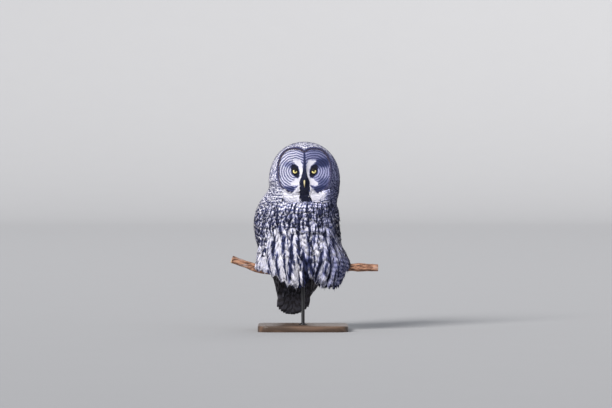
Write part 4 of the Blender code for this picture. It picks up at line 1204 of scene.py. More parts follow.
class OWL_OT_face(bpy.types.Operator):
    """Lays the ringed feathers of both facial discs, the dark ridge between them and their rim"""

    bl_idname = "owl.face"
    bl_label = "Face"

    def execute(self, context):
        dice = np.random.default_rng(21)
        density = context.scene.owl_plumage.density
        for eye, word in ((-1, "right"), (1, "left")):
            coat = Coat(disc_marks_and_shade)
            r, ray = [], []
            for k, reach in enumerate(np.arange(0.0082, 0.070, 0.0018 / density)):
                count = int(2 * math.pi * reach / (DISC_SPACING / density))
                r.append(np.full(count, reach))
                ray.append(turns(count, 0.5 * (k % 2)))
            r, ray = np.concatenate(r), np.concatenate(ray)
            r = r + dice.uniform(-0.0008, 0.0008, len(r))
            ray = ray + dice.uniform(-0.3, 0.3, len(r)) * DISC_SPACING / r
            length = 0.0085 + 0.05 * (r - 0.008)
            x0, z0 = EYE_SPACING / 2 + r * np.cos(ray), r * np.sin(ray)
            x1, z1 = x0 + length * np.cos(ray), z0 + length * np.sin(ray)
            start, end = disc_edge(x0, z0), disc_edge(x1, z1)
            room = np.clip((1.0 - start) / np.clip(end - start, 1e-6, None), 0.0, 1.0)
            room = np.where(end <= 1.0, 1.0, room)
            inward = np.clip((x0 - 0.0015) / np.clip(x0 - x1, 1e-6, None), 0, 1)
            length = length * np.minimum(room, np.where(x1 < 0.0015, inward, 1.0))
            keep = (x0 > 0.002) & (start < 1.0) & (length > 0.0028) & (z0 > -0.060)
            keep &= (x0 > 0.0100) | (z0 > -0.010)
            r, ray, length, x0, z0 = r[keep], ray[keep], length[keep], x0[keep], z0[keep]
            seed = dice.random(len(r))
            spot = np.stack([0.5 + eye * (0.012 + 3.1 * (x0 + 0.0015)), 0.5 + 6.2 * z0], -1)
            f = feathers(
                r, ray, 0.0, length, 0.00120 + 0.007 * (r - 0.008), spot,
                (0, 0, 0, seed), (0.1, 0, 0),
                0.0004, 0.0009, 0.0002, 0.0001, dice.normal(0, 0.05, len(r)),
            )
            f["eye"] = np.full(len(r), float(eye))
            leaves(coat, on_disc, f, dice, 5, 3, POINTED, 0.05, 0.0002)
            finish = feather_finish(f"disc feather {word}", rings=True)
            settle(coat.piece(f"face_disc_{word}", finish), "plumage_pale")
        self.rim(dice)
        self.ridge(dice)
        return {"FINISHED"}

    def rim(self, dice):
        """Short dark feathers across the raised rim, their roots found on each ray from the eye."""
        coat = Coat()
        layers = ((0, 0.0038, 0.05, 0.0009), (1, 0.0008, 0.22, 0.0012))
        for eye in (-1, 1):
            for layer, inset, tone, spread in layers:
                ray = np.arange(-2.1, 2.35, spread / 0.055)
                ray = ray + dice.uniform(-0.006, 0.006, len(ray))

                def inside(r):
                    return disc_edge(EYE_SPACING / 2 + r * np.cos(ray), r * np.sin(ray)) < 1

                edge = edge_along(inside, np.full(len(ray), 0.09), 24)
                inset = inset + 0.0016 * (1 - layer) * smooth((edge * np.sin(ray) - 0.012) / 0.03)
                r = edge - inset + dice.uniform(-0.0006, 0.0006, len(ray))
                x, z = EYE_SPACING / 2 + r * np.cos(ray), r * np.sin(ray)
                keep = (x > 0.001) & (z > -0.060)
                r, ray, x, z = r[keep], ray[keep], x[keep], z[keep]
                seed = dice.random(len(r))
                top = smooth((z + 0.02) / 0.05)
                pale = tone + 0.25 * (1 - top) * dice.random(len(r)) + 0.08 * dice.random(len(r))
                spot = np.stack([0.5 + eye * (0.02 + 5.5 * x), 0.5 + 6.2 * z + 0.004 * layer], -1)
                warm = 0.50 if eye < 0 else 0.35
                f = feathers(
                    r, ray, 0.0, dice.uniform(0.0052, 0.0072, len(r)), 0.0020, spot,
                    (pale, 0, 0, seed), (0.1, 0, warm * (1 - 0.5 * layer)),
                    0.0008 + 0.0005 * layer, 0.0012, 0.0002, 0.0004, dice.normal(0, 0.08, len(r)),
                )
                f["eye"] = np.full(len(r), float(eye))
                leaves(coat, on_disc, f, dice, 4, 3, POINTED, 0.05, 0.0003)
        settle(coat.piece("face_rim", feather_finish("rim feather")), "plumage_slate")

    def ridge(self, dice):
        """Dark bristly feathers that run down between the eyes, over the root of the bill and
        either side of it."""
        coat = Coat()
        x, z = [], []
        for height in np.arange(0.054, -0.044, -0.0014):
            half = float(ridge_half(height))
            low, high = smooth((height + 0.034) / 0.005), smooth((-0.001 - height) / 0.005)
            half += 0.0014 * float(high * low)
            lanes = int(half * 2 / 0.0010) + 1
            x.append(np.linspace(-half, half, lanes))
            z.append(np.full(lanes, height))
        x, z = np.concatenate(x), np.concatenate(z)
        x = x + dice.uniform(-0.0004, 0.0004, len(z))
        keep = (z > -0.0225) | (np.abs(x) > 0.0036)
        x, z = x[keep], z[keep]
        z = z + dice.uniform(-0.0006, 0.0006, len(z))
        spread = 22 * smooth((0.01 - z) / 0.03) - 40 * smooth((-0.016 - z) / 0.012)
        ray = -math.pi / 2 + dice.normal(0, 0.06, len(z)) + x * spread
        length = dice.uniform(0.0066, 0.0090, len(z))
        tone = 0.05 + 0.17 * smooth((z + 0.004) / 0.040) + 0.04 * dice.random(len(z))
        spot = np.stack([0.5 + 20 * x, 0.5 + 6 * z], -1)
        f = feathers(
            z, x, ray, length, 0.0015, spot, (tone, 0, 0, dice.random(len(z))), (0.1, 0, 0),
            0.0005, 0.0013, 0.0002, 0.0003, dice.normal(0, 0.06, len(z)),
        )

        def down(f, along, side, lift):
            dx, dz = rotated(column(f["heading"]), along, side)
            return muzzle_point(column(f["b"]) + dx, column(f["a"]) + dz, lift)

        leaves(coat, down, f, dice, 4, 3, POINTED, 0.05, 0.0002)
        settle(coat.piece("face_ridge", feather_finish("ridge feather")), "plumage_slate")


class OWL_OT_crown(bpy.types.Operator):
    """Lays the small barred feathers of crown, cheeks and nape"""

    bl_idname = "owl.crown"
    bl_label = "Crown"

    def execute(self, context):
        dice = np.random.default_rng(31)
        density = context.scene.owl_plumage.density
        a, b = [], []
        for k, turn in enumerate(np.radians(np.arange(36, 178, 3.3 / density))):
            count = int(2 * math.pi * HEAD_HALF_WIDTH * math.sin(turn) / (0.0046 / density))
            if count < 5:
                continue
            a.append(np.full(count, turn))
            b.append(turns(count, 0.5 * (k % 2)))
        a, b = np.concatenate(a), np.concatenate(b)
        a = a + dice.uniform(-0.018, 0.018, len(a))
        b = b + dice.uniform(-0.016, 0.016, len(a))
        root = head_surface(a, b)
        x, z = on_face(root)
        outside = (disc_edge(x, z) > 1.0) | (root[:, 1] > HEAD_Y - 0.012)
        keep = outside & (root[:, 2] - PERCH_Z > HEAD_Z - 0.020)
        a, b, x, z, root = a[keep], b[keep], x[keep], z[keep], root[keep]
        back = smooth((a - 1.1) / 1.0)
        cheek = smooth((-x - 0.048) / 0.025) * smooth((0.055 - z) / 0.03)
        # Painted shade on the side towards +X, away from the key light, on the front of the head
        # only
        painted_shade = smooth((x - 0.050) / 0.022) * smooth((0.062 - z) / 0.035)
        painted_shade = painted_shade * smooth((HEAD_Y + 0.045 - root[:, 1]) / 0.045)
        seed = dice.random(len(a))
        pale = 1.08 - 0.10 * cheek - 0.46 * painted_shade - 0.34 * back + dice.uniform(-0.10, 0.06, len(a))
        pale = np.maximum(pale, 0.36)
        bars = np.clip(0.82 + 0.06 * back + dice.uniform(-0.15, 0.15, len(a)), 0, 1)
        beat = (1.5 + 0.7 * dice.random(len(a))) / 16
        f = feathers(
            a, b, 0.0, 0.0125 + 0.009 * back + dice.uniform(-0.001, 0.001, len(a)),
            0.0062 + 0.003 * back, head_spot(a, b),
            (pale, 0.10, bars, seed), (beat, 0, 0.10),
            -0.0006, 0.0032, 0.0005, 0.0004, dice.normal(0, 0.06, len(a)),
        )
        for word, part, fine in (("crown", a < NAPE_TURN, 3), ("nape", a >= NAPE_TURN, 2)):
            plumed(
                f"{word}_feathers", f"{word} feather", on_head, chosen(f, part), dice,
                (5, 5, LEAF, 0.14, 0.0004), (fine, LEAF, 0.0010, 0.0003), "plumage_pale",
            )
        return {"FINISHED"}


def add_radius(f):
    """The level distance from the axis at each root, which turns a sideways step into a turn."""
    root = hull(f["a"], f["b"])
    (lean,) = spline(LEAN, f["a"])
    f["radius"] = np.hypot(root[:, 0] - lean, root[:, 1] - PERCH_Y)
    return f


class OWL_OT_neck(bpy.types.Operator):
    """Lays the black bib, the white patches beside it and the spotted feathers round the neck"""

    bl_idname = "owl.neck"
    bl_label = "Neck"

    def execute(self, context):
        dice = np.random.default_rng(41)
        spacing = growing(0.0056, 0.0042, 0.222, 0.07)
        a, b, step = rows_on_hull(dice, 0.246, 0.150, spacing, level(-180), level(180))
        world = b + BODY_TURN
        root = hull(a, b)
        x, z = on_face(root)
        front = root[:, 1] < HEAD_Y - 0.010
        chin = front & (np.abs(x) < 0.058) & (z > chin_line(x)) & (z < -0.038)
        chin |= front & (np.abs(np.degrees(world)) < 60) & (a < 0.188)
        keep = ~(front & (disc_edge(x, z) < 0.985)) & ~chin
        a, b, step, x, z, front, world = [q[keep] for q in (a, b, step, x, z, front, world)]
        seed = dice.random(len(a))
        side = np.sin(world)
        rear = smooth((np.abs(np.degrees(world)) - 95) / 40)
        low = smooth((-z - 0.060) / 0.045)
        # Painted shade on the side towards +X, away from the key light: a patch low on that side,
        # and a slight darkening by the sine of the turn, which lightens the other side as much
        painted_shade = smooth((x - 0.046) / 0.022) * smooth((z + 0.118) / 0.03) * (1 - rear)
        pale = 1.14 - 0.10 * side - 0.44 * rear - 0.46 * painted_shade + dice.uniform(-0.12, 0.10, len(a))
        bars = 0.98 - 0.2 * rear
        streak = 0.10 + 0.36 * low * dice.random(len(a))
        beat = (1.7 + 0.9 * dice.random(len(a))) / 16
        splay = np.clip(side, -1, 1) * 0.28 * front
        length = step * 2.7
        f = feathers(
            a, b, splay + dice.normal(0, 0.08, len(a)), length, step * 1.35,
            hull_spot(a, b), (pale, streak, bars, seed), (beat, 0, 0),
            -0.0006 + 0.0062 * bump(a, 0.190, 0.020) * bump(np.degrees(world), -80, 32),
            0.0030, 0.0005, 0.0006, dice.normal(0, 0.08, len(a)),
        )
        add_radius(f)
        for word, part, fine in (("front", rear < 0.25, 7), ("rear", rear >= 0.25, 5)):
            plumed(
                f"neck_feathers_{word}", f"{word} neck feather", on_hull, chosen(f, part), dice,
                (5, 5, LEAF, 0.16, 0.0004), (fine, LEAF, 0.0010, 0.0004), "plumage_pale",
            )
        self.chin(dice)
        return {"FINISHED"}

    def chin(self, dice):
        """Fine feathers in close rows under the face, black in the middle and white beside it. The
        top rows are rooted as far back as the face lies behind the hull."""
        a, b, step = rows_on_hull(
            dice, 0.2265, 0.176, lambda z: 0.0038, lambda z: -1.1, lambda z: 0.9
        )
        root = hull(a, b)
        x, z = on_face(root)
        wide = np.abs(x)
        under = (disc_edge(x, z) > 0.965) | (z < -0.0395 - 0.95 * (wide - 0.017))
        keep = (wide < np.where(x > 0, 0.055, 0.063)) & (z > -0.0785) & (under | (wide < 0.015))
        keep &= (z < np.where(wide < 0.015, -0.033, -0.040)) & (z > chin_line(x) + 0.002)
        a, b, step, x, z = [q[keep] for q in (a, b, step, x, z)]
        bib, white = chin_marks(x, z - 0.005, dice)
        shelf = np.clip(face_point(x, z)[:, 1] - hull(a, b)[:, 1], 0, 0.03)
        shelf *= smooth((z + 0.060) / 0.016)
        count = len(a)
        other = np.clip(1 - bib - white, 0, 1)
        pale = 0.02 * bib + 1.22 * white + 0.98 * other
        f = feathers(
            a, b, x * 6.5 + dice.normal(0, 0.06, count), dice.uniform(0.010, 0.014, count),
            step * 1.35, hull_spot(a, b), (pale, 0, 0.35 * other, dice.random(count)),
            (2.2 / 16, 0, 0),
            -0.0006 - shelf, 0.0024 + shelf, 0.0004, 0.0002, dice.normal(0, 0.08, count),
        )
        plumed(
            "chin_feathers", "chin feather", on_hull, add_radius(f), dice,
            (5, 3, POINTED, 0.05, 0.0003), (4, POINTED, 0.0009, 0.0005), "plumage_pale",
        )


# Which way the belly's feathers hang: turn round the body and heading, in degrees
BELLY_FLOW = (
    (-110, -6), (-90, -12), (-60, -15), (-43, -13), (-17, -4), (0, 1),
    (15, -4), (30, -11), (42, -4), (52, 8), (75, 13), (110, 6),
)

# Gaps between the locks of the belly, painted dark as shade between the locks and as the dark
# streaks there, in millimetres from the middle of the perch: across and up at the top, across
# and up at the foot, half width
GAPS = (
    (-60, 128, -53, 90, 3.5), (-26, 122, -29, 73, 3.8), (-12, 116, -12, 84, 3.0),
    (8, 110, 14, 73, 3.2), (31, 112, 30, 70, 3.6), (58, 110, 57, 78, 3.4), (-80, 118, -74, 88, 3.0),
    (-74, 77, -84, 39, 4.5), (-68, 51, -69, -16, 3.2), (-49, 95, -53, 43, 4.5),
    (-29, 77, -35, -27, 5.5), (-12, 88, -8, 50, 4.0), (0, 58, 5, -46, 5.0), (6, 34, 13, -46, 6.0),
    (12, 82, 19, 36, 3.2), (15, 34, 24, -16, 5.5), (55, 58, 33, -27, 4.8), (73, 82, 66, 20, 3.2),
    (66, 24, 53, -20, 3.2), (86, 114, 77, 49, 3.0), (77, 40, 68, -26, 2.5), (-87, 29, -93, -9, 1.8),
    (-103, 52, -112, 28, 1.8),
)


def belly_flow(b):
    """The heading at each turn round the body, read between the rows of BELLY_FLOW."""
    return np.radians(np.interp(np.degrees(b + BODY_TURN), *np.array(BELLY_FLOW, float).T))


def lock_gap_shade_and_streaks(points, marks):
    """Darkens the gaps between the locks: painted shade between them, with the dark streaks that
    lie there. A gap runs straight from its top to its foot with a slight wave, narrows at both
    ends by smooth steps, and every feather shifts it by its seed."""
    seed = marks[:, 3]
    fx = points[:, 0] * 1000 + (seed - 0.5) * 2.6
    fz = (points[:, 2] - PERCH_Z) * 1000 + np.sin(seed * 40) * 3.0
    dark = np.zeros(len(points))
    for top_x, top_z, foot_x, foot_z, half in GAPS:
        t = (top_z - fz) / (top_z - foot_z)
        middle = top_x + (foot_x - top_x) * t + 1.3 * np.sin(fz * 0.15 + top_x)
        wide = half * smooth((t + 0.10) / 0.35) * smooth((1.12 - t) / 0.30)
        dark = np.maximum(dark, smooth((wide - np.abs(fx - middle)) / 2.4 + 0.45) * (wide > 0.4))
    front = smooth((PERCH_Y + 0.035 - points[:, 1]) / 0.02)
    marked = marks.copy()
    # Painted shade, with the dark streaks, in the gaps on the front
    marked[:, 0] = marks[:, 0] * (1 - 0.88 * dark * front)
    return marked


def breast_fields(dice, a, b, kind):
    """Markings of the front by place: blotched streaks on the breast, long ones on the belly, and
    fine bars over the puffed flank, with painted shade darkening the side towards +X."""
    world = np.degrees(b + BODY_TURN)
    belly = smooth((0.152 - a) / 0.034)
    field = patches(b * 0.11, a * 0.5, 0.045, kind)
    # right weights the side towards +X, away from the key light: painted shade below
    right = smooth((world - 5) / 40)
    collar = smooth((a - 0.160) / 0.020) * smooth((30 - np.abs(world)) / 12)
    shoulder = smooth((-world - 30) / 15) * (1 - belly)
    pale = 1.04 + 0.08 * belly - 0.20 * right + dice.uniform(-0.10, 0.04, len(a))
    streak = 0.44 - 0.14 * shoulder + 0.30 * (field - 0.5)
    streak = streak + dice.uniform(-0.15, 0.15, len(a)) * (1 - 0.5 * belly)
    streak = streak - 0.24 * belly - 0.18 * collar
    bars = 0.58 - 0.46 * belly + dice.uniform(-0.22, 0.22, len(a)) * (1 - 0.5 * belly)
    bars = np.clip(bars, 0, 1)
    flank = smooth((-world - 38) / 14) * belly
    streak = streak * (1 - 0.45 * flank)
    puff = smooth((world - 46) / 10) * smooth((0.090 - a) / 0.03)
    pale = pale * (1 - 0.24 * puff) * (1 - 0.10 * flank)
    streak = streak * (1 - 0.80 * puff)
    bars = bars + (0.60 - bars) * puff
    return pale, streak, bars


class OWL_OT_breast(bpy.types.Operator):
    """Lays the blotched feathers of the breast"""

    bl_idname = "owl.breast"
    bl_label = "Breast"

    def execute(self, context):
        dice = np.random.default_rng(51)
        spacing, edge = growing(0.0130, 0.0030, 0.180, 0.06), wing_edge(5)
        a, b, step = rows_on_hull(dice, 0.194, 0.130, spacing, lambda z: -edge(z), edge, 0.5, 0.66)
        root = hull(a, b)
        x, z = on_face(root)
        keep = ~((np.abs(x) < 0.058) & (z > -0.071))
        a, b, step = a[keep], b[keep], step[keep]
        pale, streak, bars = breast_fields(dice, a, b, 1)
        flow = belly_flow(b) * 0.5
        size = dice.uniform(0.80, 1.28, len(a))
        a = a + dice.uniform(-0.003, 0.003, len(a))
        b = b + dice.uniform(-0.03, 0.03, len(a))
        f = feathers(
            a, b, flow + dice.normal(0, 0.12, len(a)), step * 2.35 * size, step * 1.25 * size,
            hull_spot(a, b), (pale, streak, bars, dice.random(len(a))),
            (dice.uniform(2.7, 4.4, len(a)) / 16, 0, 0),
            -0.0010 - 0.0040 * smooth((np.degrees(b) - 44) / 20),
            0.0044, 0.0010, 0.0010, dice.normal(0, 0.07, len(a)),
        )
        plumed(
            "breast_feathers", "breast feather", on_hull, add_radius(f), dice,
            (6, 5, LEAF, 0.16, 0.0005), (27, LEAF, 0.0011, 0.0007), "plumage_pale",
        )
        return {"FINISHED"}


class OWL_OT_belly(bpy.types.Operator):
    """Lays the long hanging feathers of belly and flanks in columns, gathered into locks"""

    bl_idname = "owl.belly"
    bl_label = "Belly"

    def execute(self, context):
        dice = np.random.default_rng(61)
        for name, low, high, apart, node in (
            ("belly_feathers", -48, 48, 0.0215, "belly_plumage"),
            ("flank_feathers_right", -104, -48, 0.0190, "flank_right"),
            ("flank_feathers_left", 48, 100, 0.0140, "flank_left"),
        ):
            columns = int(round(math.radians(high - low) * BELLY_RADIUS / apart))
            lanes = low + (high - low) * (np.arange(columns) + 0.5) / columns
            heights = np.arange(0.146, -0.016, -0.0100)
            a, b = [q.ravel() for q in np.meshgrid(heights, np.radians(lanes), indexing="ij")]
            lane = np.tile(np.arange(columns), len(heights))
            lower = np.arange(0.030, -0.016, -0.0150)
            between = np.radians(lanes[:-1] + (high - low) * 0.5 / columns)
            more = np.meshgrid(lower, between, indexing="ij")
            a, b = [np.append(p, q) for p, q in zip((a, b), more)]
            lane = np.append(lane, np.tile(np.arange(columns - 1), len(lower)))
            deep = np.arange(len(a)) >= columns * len(heights)
            a = a + dice.uniform(-0.003, 0.003, len(a)) + 0.0045 * (lane % 2)
            b = b + dice.normal(0, 0.010, len(a)) + 0.024 * np.sin(a * 50 + lane * 2.3)
            turn = np.degrees(b)
            raised = 0.036 * smooth((turn - 54) / 10) * smooth((90 - turn) / 20)
            tips = spline(TIPS, turn * 1.02)[0] + raised + 0.012 * bump(turn, 7, 8)
            full = 0.046 + 0.010 * smooth((0.145 - a) / 0.05) + 0.022 * smooth((0.10 - a) / 0.10)
            length = full * dice.uniform(0.9, 1.1, len(a))
            length = np.minimum(length, a - tips + dice.uniform(-0.004, 0.005, len(a)))
            lead = spline(WING_LEAD, a)[0]
            keep = (length > 0.020) & (np.abs(turn) < lead + 4 + 30 * smooth((0.045 - a) / 0.03))
            a, b, length, lane, turn, deep = [q[keep] for q in (a, b, length, lane, turn, deep)]
            pale, streak, bars = breast_fields(dice, a, b, 2)
            streak = streak + 0.10 * np.sin(lane * 2.4 + 1)
            # The deeper feathers between the columns are painted darker: shade under the locks over
            # them
            pale = pale * (1 - 0.72 * deep)
            flow = belly_flow(b)
            hang = smooth((0.045 - a) / 0.05)
            f = feathers(
                a, b, flow + dice.normal(0, 0.035, len(a)), length, apart * (1.32 - 0.37 * hang),
                hull_spot(a, b), (pale, streak, bars, dice.random(len(a))),
                ((length * 1000 / 12) / 16, 0, 0),
                -0.0040 - 0.004 * hang - 0.0030 * smooth((turn - 50) / 20) - 0.0035 * deep,
                0.0062 + 0.003 * hang + 0.0090 * smooth((-turn - 62) / 20), 0.0012, 0.0010,
                dice.normal(0, 0.04, len(a)),
            )
            plumed(
                name, name.replace("_", " "), on_hull, add_radius(f), dice,
                (7, 5, POINTED, 0.14, 0.0006),
                (int(apart * 1850), POINTED, 0.0013, 0.0009, 0.10, 1.08),
                "plumage_pale", node, tint=lock_gap_shade_and_streaks,
            )
        return {"FINISHED"}


class OWL_OT_back(bpy.types.Operator):
    """Lays the barred feathers of the back between the wings"""

    bl_idname = "owl.back"
    bl_label = "Back"

    def execute(self, context):
        dice = np.random.default_rng(71)
        spacing = growing(0.0098, 0.0032, 0.170, 0.07)
        a, b, step = rows_on_hull(dice, 0.178, 0.056, spacing, level(145), level(215), 0.5, 0.84)
        f = feathers(
            a, b, dice.normal(0, 0.08, len(a)), step * 3.3, step * 1.40, hull_spot(a, b),
            (
                dice.uniform(0.46, 0.66, len(a)), 0.26, dice.uniform(0.55, 0.85, len(a)),
                dice.random(len(a)),
            ),
            (3.6 / 16, 0, 0.06), -0.0010, 0.0050, 0.0012, 0.0006,
            dice.normal(0, 0.06, len(a)),
        )
        plumed(
            "back_feathers", "back feather", on_hull, add_radius(f), dice,
            (6, 5, LEAF, 0.12, 0.0006), (16, LEAF, 0.0012, 0.0006), "plumage_slate", "back_plumage",
        )
        return {"FINISHED"}


# Flight feathers: height and turn of root, height and turn of tip in degrees, width
PRIMARIES = (
    (0.030, 100, -0.052, 107, 0.016), (0.030, 104, -0.070, 112, 0.018),
    (0.028, 109, -0.088, 118, 0.020), (0.026, 114, -0.100, 124, 0.021),
    (0.026, 119, -0.108, 130, 0.021), (0.026, 124, -0.110, 135, 0.021),
    (0.028, 129, -0.104, 141, 0.021), (0.030, 134, -0.096, 147, 0.021),
)
SECONDARIES = (
    (0.074, 130, -0.086, 150, 0.024), (0.076, 135, -0.076, 154, 0.024),
    (0.078, 140, -0.066, 157, 0.025), (0.080, 145, -0.054, 160, 0.025),
    (0.082, 150, -0.040, 164, 0.025), (0.084, 155, -0.026, 167, 0.025),
    (0.086, 160, -0.012, 171, 0.024),
)


class OWL_OT_wings(bpy.types.Operator):
    """Lays the flight feathers and the spotted coverts of both folded wings"""

    bl_idname = "owl.wings"
    bl_label = "Wings"

    def execute(self, context):
        for side, word in ((-1, "right"), (1, "left")):
            dice = np.random.default_rng(81 + side)
            self.flight(dice, side, word)
            self.coverts(dice, side, word)
        return {"FINISHED"}

    def flight(self, dice, side, word):
        """Long vanes from root to tip on the sheet of the wing, each a step over the last."""
        coat = Coat()
        for rows, lift, step in ((PRIMARIES, -0.0022, 0.00045), (SECONDARIES, -0.0006, 0.00040)):
            top, turn, low, tip, width = np.array(rows, float).T
            turn, tip = np.radians(turn) * side, np.radians(tip) * side
            order = np.arange(len(rows))
            reach = (tip - turn) * WING_RADIUS
            drop = top - low
            length = np.hypot(reach, drop)
            f = feathers(
                top, turn, np.arctan2(reach, drop), length, width, hull_spot(top, turn),
                (0.50, 0.06, 0.92, dice.random(len(rows))), (length / 0.022 / 16, 0, 0.14),
                lift + step * order * 0.6, 0.0012, 0.0006, 0.0006, side * 0.02,
            )
            f["radius"] = np.full(len(rows), WING_RADIUS)
            leaves(coat, on_mantle, f, dice, 16, 7, VANE, 0.015, 0.0008)
        finish = feather_finish(f"flight feather {word}", firm=1.0)
        settle(coat.piece(f"flight_feathers_{word}", finish), "plumage_slate", f"wing_{word}")

    def coverts(self, dice, side, word):
        """Rows of coverts from the shoulder down, growing from small to large."""
        spacing = growing(0.0112, 0.0046, 0.150, 0.11)
        a, b, step = rows_on_hull(dice, 0.182, 0.030, spacing, wing_edge(-6), level(160), 0.5, 0.84)
        world = np.degrees(b)
        near = smooth((world - 60) / 22)
        upper = smooth((a - 0.125) / 0.045)
        field = patches(b * 0.11, a, 0.06, 3 + side)
        pale = 0.13 + 0.30 * upper + 0.12 * (field - 0.5) + 0.06 * smooth((100 - world) / 30)
        spots = (1.35 - 0.20 * upper) * dice.uniform(0.45, 1.10, len(a))
        size = dice.uniform(0.85, 1.20, len(a))
        bars = 0.45 + 0.20 * dice.random(len(a))
        b = b * side
        f = feathers(
            a, b, side * np.radians(6 + 9 * near) + dice.normal(0, 0.09, len(a)),
            step * 3.1 * size, step * 1.42 * size, hull_spot(a, b),
            (pale, 0.34, bars, dice.random(len(a))), (2.6 / 16, spots, 0.05),
            -0.0010 - 0.0042 * (side > 0), 0.0052, 0.0014, 0.0006, dice.normal(0, 0.05, len(a)),
        )
        plumed(
            f"covert_feathers_{word}", f"covert {word}", on_hull, add_radius(f), dice,
            (7, 5, LEAF, 0.09, 0.0006), (13, LEAF, 0.0011, 0.0005), "plumage_slate", firm=0.6,
        )


class OWL_OT_tail(bpy.types.Operator):
    """Lays the twelve tail feathers, the coverts over them and the long soft ones under them"""

    bl_idname = "owl.tail"
    bl_label = "Tail"

    def execute(self, context):
        dice = np.random.default_rng(91)
        coat = Coat()
        share = np.linspace(-1, 1, TAIL_FEATHERS)
        length = (0.985 - 0.09 * share**2 - VANES_START) * TAIL_LENGTH
        # The vanes' tone of 0.20 is their real dark grey, darkened further as painted shade, for
        # the tail hangs in the shade under the body
        f = feathers(
            VANES_START + 0 * share, share, 0.0, length, 0.0250,
            np.stack([0.5 + 0.3 * share, 0.5 + 0 * share], -1),
            (0.20, 0.05, 0.85, dice.random(TAIL_FEATHERS)), (length / 0.024 / 16, 0, 0.12),
            0.0, 0.0004, 0.0004, 0.0, 0.02 * share,
        )
        f["face"] = np.ones(TAIL_FEATHERS)
        f["deck"] = 0.0030 * (1 - np.abs(share)) + 0.0004 * (np.arange(TAIL_FEATHERS) % 2)
        leaves(coat, on_tail, f, dice, 18, 7, VANE, 0.012, 0.0009)
        # The coverts' tones, 0.50 over the tail and 0.36 under it, are partly painted shade: the
        # tail hangs in the shade under the body, the underside most
        for face, deck, rows, width, reach, tone in (
            (1.0, 0.0050, 6, 0.020, 0.050, 0.50),
            (-1.0, 0.0040, 8, 0.019, 0.062, 0.36),
        ):
            for k in range(rows):
                count = 7 - (k % 2)
                across = np.linspace(-0.85, 0.85, count) + dice.uniform(-0.05, 0.05, count)
                start = 0.16 + k * 0.055
                f = feathers(
                    start + dice.uniform(-0.01, 0.01, count), across, 0.0,
                    reach * dice.uniform(0.9, 1.1, count), width,
                    np.stack([0.5 + 0.3 * across, 0.5 + face * (0.04 + 0.03 * k) + 0 * across], -1),
                    (tone, 0.22, 0.7, dice.random(count)), (3.4 / 16, 0, 0.05),
                    0.0, 0.0052, 0.0016, 0.0, dice.normal(0, 0.05, count),
                )
                f["face"], f["deck"] = np.full(count, face), np.full(count, face * deck)
                leaves(coat, on_tail, f, dice, 6, 5, LEAF, 0.12, 0.0006)
                strands(coat, on_tail, f, dice, 8, LEAF, 0.0017, 0.0006)
        piece = coat.piece("tail_feathers", feather_finish("tail feather", firm=1.0))
        settle(piece, "plumage_slate", "tail")
        return {"FINISHED"}


class OWL_OT_legs(bpy.types.Operator):
    """Lays the short soft feathers of legs and toes"""

    bl_idname = "owl.legs"
    bl_label = "Legs"

    def execute(self, context):
        dice = np.random.default_rng(101)
        coat = Coat()
        for side in (-1, 1):
            t = np.linspace(0, 1.2, 24)
            radii = (LEG_RADIUS - 0.003) * (1 - 0.30 * t)
            line = leg_line(side, t)
            self.sleeve(coat, dice, line, radii, (0.0055, 0.017, 0.0075), side, 0, DEEP)
            for k, toe in enumerate(TOES):
                line = toe_line(side * LEG_SPACING / 2, side, toe, 0, 0.96, 24)
                radii = TOE_RADIUS * np.linspace(0.9, 0.72, 24)
                self.sleeve(coat, dice, line, radii, (0.0032, 0.0075, 0.0036), side, k + 1, WIDE)
        settle(coat.piece("leg_feathers", feather_finish("leg feather")), "plumage_pale")
        return {"FINISHED"}

    def sleeve(self, coat, dice, line, radii, sizes, side, index, up):
        """Feathers down a limb: along its path by arc length, round it by turn and lifted square
        to it. Their sizes are their spacing, length and width."""
        spacing, length, width = sizes
        step = np.linalg.norm(np.diff(line, axis=0), axis=1)
        reach = np.concatenate([[0], np.cumsum(step)])
        starts = np.arange(0, reach[-1] - length * 0.35, spacing)
        count = max(int(2 * math.pi * radii.mean() / (width * 0.62)), 6)
        a, b = np.meshgrid(starts, turns(count), indexing="ij")
        b = b + (np.arange(len(starts)) % 2)[:, None] * math.pi / count
        a = (a + dice.uniform(-0.2, 0.2, a.shape) * spacing).ravel()
        b = (b + dice.uniform(-0.08, 0.08, b.shape)).ravel()
        along_line = np.gradient(line, axis=0, edge_order=2)
        along_line /= np.linalg.norm(along_line, axis=1)[:, None]
        across = np.cross(along_line, np.asarray(up, float))
        across /= np.linalg.norm(across, axis=1)[:, None]
        over = np.cross(across, along_line)

        def wrap(f, along, aside, lift):
            s = np.clip(column(f["a"]) + along, 0, reach[-1])
            turn = column(f["b"]) + aside / column(f["radius"])
            point, beside, above = [
                np.stack([np.interp(s, reach, rows[:, k]) for k in range(3)], -1)
                for rows in (line, across, over)
            ]
            r = np.interp(s, reach, radii) + lift
            out = np.cos(turn)[..., None] * beside + np.sin(turn)[..., None] * above
            return point + r[..., None] * out

        shift = 0.08 + 0.09 * index + 0.45 * (side > 0) + 0.010 * (b % 6.283)
        spot = np.stack([shift, 0.1 + 8.0 * a + 0 * b], -1)
        f = feathers(
            a, b, 0.0, length * dice.uniform(0.85, 1.1, len(a)), width, spot,
            (dice.uniform(0.62, 0.85, len(a)), 0.0, 0.35, dice.random(len(a))),
            (2.0 / 16, 0, 0),
            -0.0003, 0.0022, 0.0003, 0.0004, dice.normal(0, 0.08, len(a)),
        )
        f["radius"] = np.interp(f["a"], reach, radii)
        leaves(coat, wrap, f, dice, 4, 3, POINTED, 0.1, 0.0004)


